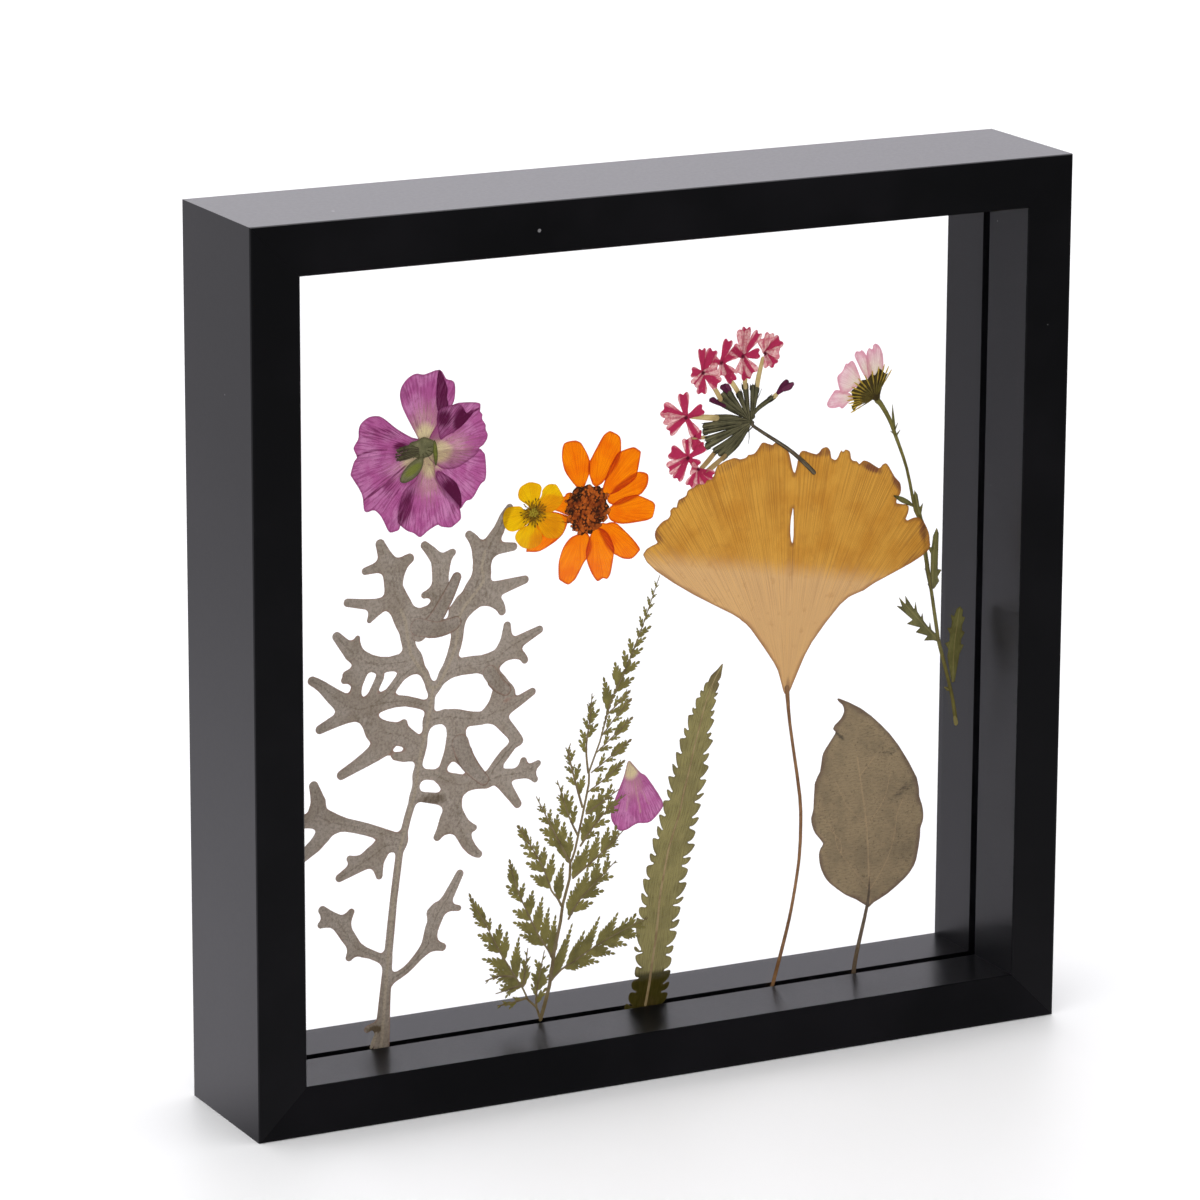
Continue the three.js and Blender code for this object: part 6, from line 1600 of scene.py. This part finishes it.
def makeVerbena(look):
    green = pressedMaterial("verbenaGreen", look["green"])
    tube = pressedMaterial("creamTube", look["tube"])
    bud = pressedMaterial("purpleBud", look["bud"])
    petals = pressedMaterial("stripedPetal", look["floret"])
    parts, y = startPiece("verbena_stem")
    addStrip(parts, verbenaStem, y, (0, 0.5, 0), 0.08)
    for number, calyx in enumerate(verbenaCalyxes):
        level = y + 0.02 * ((number * 2) % 3 - 1)
        tipX, tipZ, half = calyx[-1]
        ahead, side = headings(calyx[-2], calyx[-1])[:2]
        addStrip(parts, calyx, level, dome=0.06)
        for shift in (-0.7, 0.1, 0.8):
            foot = np.array([tipX, tipZ]) + side * shift * half - ahead * 0.6
            end = foot + ahead * (1.5 + 0.3 * math.sin(number * 3 + shift)) + side * shift * 0.25
            tooth = [[*foot, 0.34], [*((foot + end) / 2), 0.24], [*end, 0.06]]
            addStrip(parts, tooth, level, (0.5, 0, 0), 0.03)
    addStrip(parts, [[33, 181.8, 0.4], [30, 183.6, 0.55], [27, 185.4, 0.6]], y + 0.01, (0.5, 0, 0), 0.06)
    for hair in verbenaHairs:
        addStrip(parts, hair, y, (0.3, 0.2, 0), 0.04)
    knots = [[35.6, 180, 0.9, 0.3, 0.4], [36.2, 179.4, 0.8, 1.0, 0.0], [36.6, 181.2, 0.7, 0.6, 0.2]]
    addGrains(parts, knots, y, 0.06, 8)
    makePiece("verbena_stem", parts, [green])

    buds = [
        ([[[30.2, 186.8, 0.7], [28.8, 188.9, 0.9], [27.8, 190.2, 1.3], [26.9, 190.5, 0.8]],
          [[28.4, 190.6, 0.8], [29.2, 189.4, 0.7], [29.6, 187.6, 0.5]]], []),
        ([[[27.4, 185.2, 0.5], [25.2, 186.3, 0.62], [23.8, 187.2, 0.9], [23.2, 187.3, 0.7]]], []),
        ([[[44.6, 187.3, 0.7], [46, 188.6, 1.2], [47, 189.8, 1.0]],
          [[46.4, 188.2, 0.9], [48, 188.7, 1.1], [48.9, 189.2, 0.7]]],
         [[[42, 185.4, 0.7], [43.1, 186, 0.75], [44.2, 186.9, 0.65]]]),
    ]
    for number, (strips, rings) in enumerate(buds, 1):
        node = f"verbena_bud_{number}"
        parts, y = startPiece(node)
        for ring in rings:
            addStrip(parts, ring, y + 0.01, slot=1)
        for level, strip in enumerate(strips):
            addStrip(parts, strip, y - 0.015 * level, (0, 0.2 + 0.4 * level, 0), 0.07)
        makePiece(node, parts, [bud, tube])

    for number, floret in verbenaFlorets.items():
        node = f"verbena_floret_{number}"
        parts, y = startPiece(node)
        shade = 0.6 if number in (3, 4) else 0.1
        addStrip(parts, verbenaTubes[number], y + 0.05, (shade, 0, 0), 0.05, slot=1)
        addFloret(parts, floret, look, y)
        makePiece(node, parts, [petals, tube])
    print("verbena made")


makeVerbena(verbenaLook)

# daisy: four torn petals over a scaly head, and a stem with toothed leaves
daisyLook = {
    "petal": {
        "colour": rgb(250, 214, 218), "cloud": rgb(244, 190, 202), "cloudSize": 2.4,
        "line": rgb(226, 160, 178), "lineLength": 8.0, "lineWidth": 0.6, "lineAmount": 0.6,
        "rim": rgb(226, 148, 170), "rimWidth": 1.1, "rimAmount": 0.8, "tint": rgb(240, 226, 204),
        "shade": rgb(186, 130, 122), "glow": 0.35, "roughness": 0.6, "bump": 0.5,
    },
    "green": {
        "colour": rgb(118, 114, 66), "cloud": rgb(98, 94, 52), "cloudSize": 4.0,
        "line": rgb(82, 78, 42), "lineLength": 7.0, "lineWidth": 0.3, "lineAmount": 0.55,
        "rim": rgb(80, 72, 40), "rimWidth": 0.35, "shade": rgb(62, 50, 26), "tint": rgb(184, 156, 58),
        "vein": rgb(150, 138, 84), "glow": 0.18, "roughness": 0.72, "bump": 0.6,
    },
    "head": {"colour": rgb(128, 116, 48), "cloud": rgb(104, 92, 38), "shade": rgb(62, 50, 26),
             "tint": rgb(196, 164, 58), "glow": 0.18, "roughness": 0.72},
    "cell": 0.3, "leafCell": 0.2,
}
daisyPetals = [
    [[73.3, 189.7], [72.6, 194.3], [72.8, 196.3], [73.5, 197.2], [74.5, 196.7], [74.7, 197.8],
     [75.4, 198.3], [76.5, 197.7], [77.5, 196.1], [78, 194], [78.1, 190.3], [76.7, 188.4], [75, 188]],
    [[72.7, 188.7], [71.2, 190.8], [69.3, 194.5], [68.9, 195.7], [69.5, 196.6],
     [70.6, 196.4], [71.1, 196.8], [72.1, 196], [73.7, 193.3], [74.7, 190.7], [74.4, 188.6]],
    [[71, 188], [70.2, 190.5], [68.6, 193.7], [67.5, 194], [66.7, 193.3], [66, 193.4], [64.9, 191.3],
     [63.3, 189.7], [64.4, 185.6], [65.7, 184.9], [67.3, 185.3], [69, 186.3], [70.6, 186.6]],
    [[68.7, 183.8], [66.7, 185.2], [63.4, 186.1], [62.3, 185.6], [60.3, 182.6],
     [61, 181.3], [62.7, 181], [64.3, 181.2], [65.3, 180.6], [67.4, 182.3], [68.9, 182.8]],
]
daisyHead = [
    [68.7, 179.3], [70.3, 180.7], [72.3, 181.5], [74.3, 182], [76.8, 181.5], [78.2, 186],
    [80.5, 190.3], [79, 189.7], [76.7, 191.7], [75.3, 189.7], [74.2, 190.3], [72.7, 188.7],
    [71, 188.7], [69.3, 186.7], [67.3, 185.7], [68.3, 182.3], [67.7, 181.4], [67.7, 180.3]]
daisyBrim = [[68.5, 179.6], [68, 182], [67.9, 185.2], [70.6, 188], [76.6, 191], [80.1, 189.6]]
daisyStem = [
    [76.3, 183, 1.2], [76.7, 181.7, 0.9], [77.7, 180.7, 0.75], [80.5, 176.2, 0.65], [82.7, 171, 0.56],
    [86.5, 161.2, 0.48], [89.6, 148.6, 0.55], [92, 144.8, 0.52], [92.8, 136.2, 0.52], [94.7, 127.6, 0.55],
    [97.4, 112.5, 0.6], [98.3, 108.2, 0.6], [102.5, 93.7, 0.56], [104.3, 84.3, 0.66]]
# leaves of the daisy: outline of each, with the line of its rib
daisyLeaves = [
    {"rib": [[91.4, 145.4], [89.3, 154.2]],
     "edge": [[90.8, 145.6], [89.6, 148.5], [88.9, 151.4], [89.1, 154.6],
              [90.2, 153.2], [91, 149.4], [92.1, 150.6], [91.6, 147.6], [92.2, 145.2]]},
    {"rib": [[95.6, 124.9], [95.8, 134], [96.7, 142.6]],
     "edge": [[95, 124.8], [93.9, 126.7], [94.9, 127], [94.9, 135.4], [93.6, 137.8],
              [95.1, 137.2], [95.5, 140.5], [96.7, 142.9], [97.4, 141],
              [97.3, 130.6], [98.6, 130.3], [97.3, 128.4], [97.9, 127], [96.3, 125]]},
    {"rib": [[95.2, 125], [93.8, 131], [93, 137.8]],
     "edge": [[94.6, 125], [93.1, 131], [92.7, 137.6], [93.4, 138], [95.6, 126]]},
    {"rib": [[97.9, 109.4], [85, 123.4]],
     "edge": [[98.2, 109], [96.4, 109.7], [93.1, 110], [94.3, 111.3], [90.3, 112.8], [91.8, 114],
              [87.4, 115.6], [89.3, 116.6], [83.8, 121.4], [85.8, 120.9], [84.6, 123.9],
              [87, 121.4], [86.7, 124.1], [89.8, 119.6], [90.2, 121.9], [90.8, 118.9], [92.1, 117],
              [92.5, 118.6], [92.9, 116], [94.7, 113.7], [95, 115.5], [95.6, 113], [98.5, 110.2]]},
    {"rib": [[103, 96.7], [103.2, 107], [104.7, 118]],
     "edge": [[102.6, 96.4], [101, 104.4], [101.3, 106.6], [100.1, 108.4], [101.6, 108.8],
              [101.7, 111], [100.7, 112.9], [102.1, 112.8], [102.3, 114.6], [101.8, 116.8],
              [103, 116.1], [103.8, 118.2], [104.9, 118.8], [105.9, 117.6], [105.7, 115.8],
              [106.7, 115.3], [105.7, 113.2], [105.7, 111.6], [106.7, 110.9], [105.5, 109],
              [105.4, 107.6], [106.4, 107.2], [105, 104.6], [103.6, 96.6]]},
    {"rib": [[92.2, 142.4], [92.5, 144.7]],
     "edge": [[91.9, 142.2], [92.5, 144.9], [93, 143.4], [92.8, 142.2]]},
    {"rib": [[102, 94.2], [100.2, 95.4]],
     "edge": [[102.2, 93.8], [100.9, 94.3], [100, 95.5], [101.2, 95.4], [102.4, 94.8]]},
]
daisyFrontLeaf = [[88.4, 150.2, 0.3], [86.6, 151.4, 0.7], [84.4, 152.6, 0.75], [82.2, 153.8, 0.2]]
daisyHooks = [
    [[82.2, 172.6, 0.55], [81.8, 176.4, 0.42], [81.5, 180.2, 0.05]],
    [[82.2, 172.4, 0.4], [83.4, 174.8, 0.06]], [[82.8, 171, 0.4], [84.2, 172.6, 0.05]],
    [[82.4, 171.6, 0.35], [80.9, 172.6, 0.05]], [[94, 130.4, 0.2], [92.8, 131.2, 0.05]]]


def addLeaf(parts, leaf, look, y, shade=0.0):
    rib = roundLine(leaf["rib"])

    def grain(x, z):
        far, along = lineDistance(rib, x, z)
        return along, far * 0.7 + along * 0.2

    def shades(x, z):
        return x * 0 + shade, x * 0, streaks([(rib, 0.3, 0.6)], x, z)

    addSheet(parts, roundOutline(leaf["edge"], 1), look["leafCell"], y, grain, shades, rippled(4.0, 0.03))


def makeDaisy(look):
    petal = pressedMaterial("palePinkPetal", look["petal"])
    green = pressedMaterial("daisyGreen", look["green"])
    headGreen = pressedMaterial("daisyHeadGreen", look["head"])

    def petalShades(x, z):
        return x * 0, np.clip(1.9 - np.hypot(x - 75.8, z - 183.4) / 7.6, 0, 1), x * 0

    for number, points in enumerate(daisyPetals, 1):
        node = f"daisy_petal_{number}"
        parts, y = startPiece(node)
        addSheet(parts, roundOutline(points), look["cell"], y, fanGrain((75.8, 183.4), 12.0), petalShades,
                 rippled(3.0, 0.04))
        makePiece(node, parts, [petal])

    parts, y = startPiece("daisy_head")
    outline = roundOutline(daisyHead, 2)

    # the dark middle of the head ends short of its outline
    def inside(x, z):
        return outlineDistance(outline)(x, z) + 0.4

    addRegion(parts, inside, *outlineBox(outline), look["cell"], y + 0.03, fanGrain((75.8, 182.4), 8.0),
              evenShade(0.8))
    brim = roundLine(daisyBrim, 6)
    foot = np.array([75.6, 182.8])
    for number, place in enumerate(brim[::2] + 0.2 * np.sin(np.arange(len(brim[::2])))[:, None]):
        root = foot + 0.12 * (place - foot)
        for start, end, half, shades in ((0.0, 0.6, 0.2, (0.5, 0.2, 0)), (0.4, 0.95, 0.2, (0.2, 0.6, 0)),
                                         (0.75, 1.12 + 0.05 * math.sin(5 * number), 0.24, (0, 1.4, 0))):
            a, b = root + (place - root) * start, root + (place - root) * end
            scale = [[*a, 0.05], [*((a + b) / 2), half], [*b, 0.1]]
            addStrip(parts, scale, y - 0.012 * (number % 3), shades, 0.04, 0, 2, 2)
    makePiece("daisy_head", parts, [headGreen])

    parts, y = startPiece("daisy_stem")
    addStrip(parts, daisyStem, y, (0, 0.3, 0), 0.09)
    addStrip(parts, [[103.9, 86, 0.6], [104.3, 84.2, 0.72]], y - 0.03, (0, 0, 1.4), 0.07)
    for hook in daisyHooks:
        addStrip(parts, hook, y + 0.02, (0.2, 0, 0), 0.03)
    for number, leaf in enumerate(daisyLeaves):
        addLeaf(parts, leaf, look, y + 0.03, 0.45 if number == 2 else 0.0)
    makePiece("daisy_stem", parts, [green])

    parts, y = startPiece("daisy_front_leaf")
    addStrip(parts, daisyFrontLeaf, y, (0.1, 0, 0), 0.05)
    makePiece("daisy_front_leaf", parts, [green])
    print("daisy made")


makeDaisy(daisyLook)
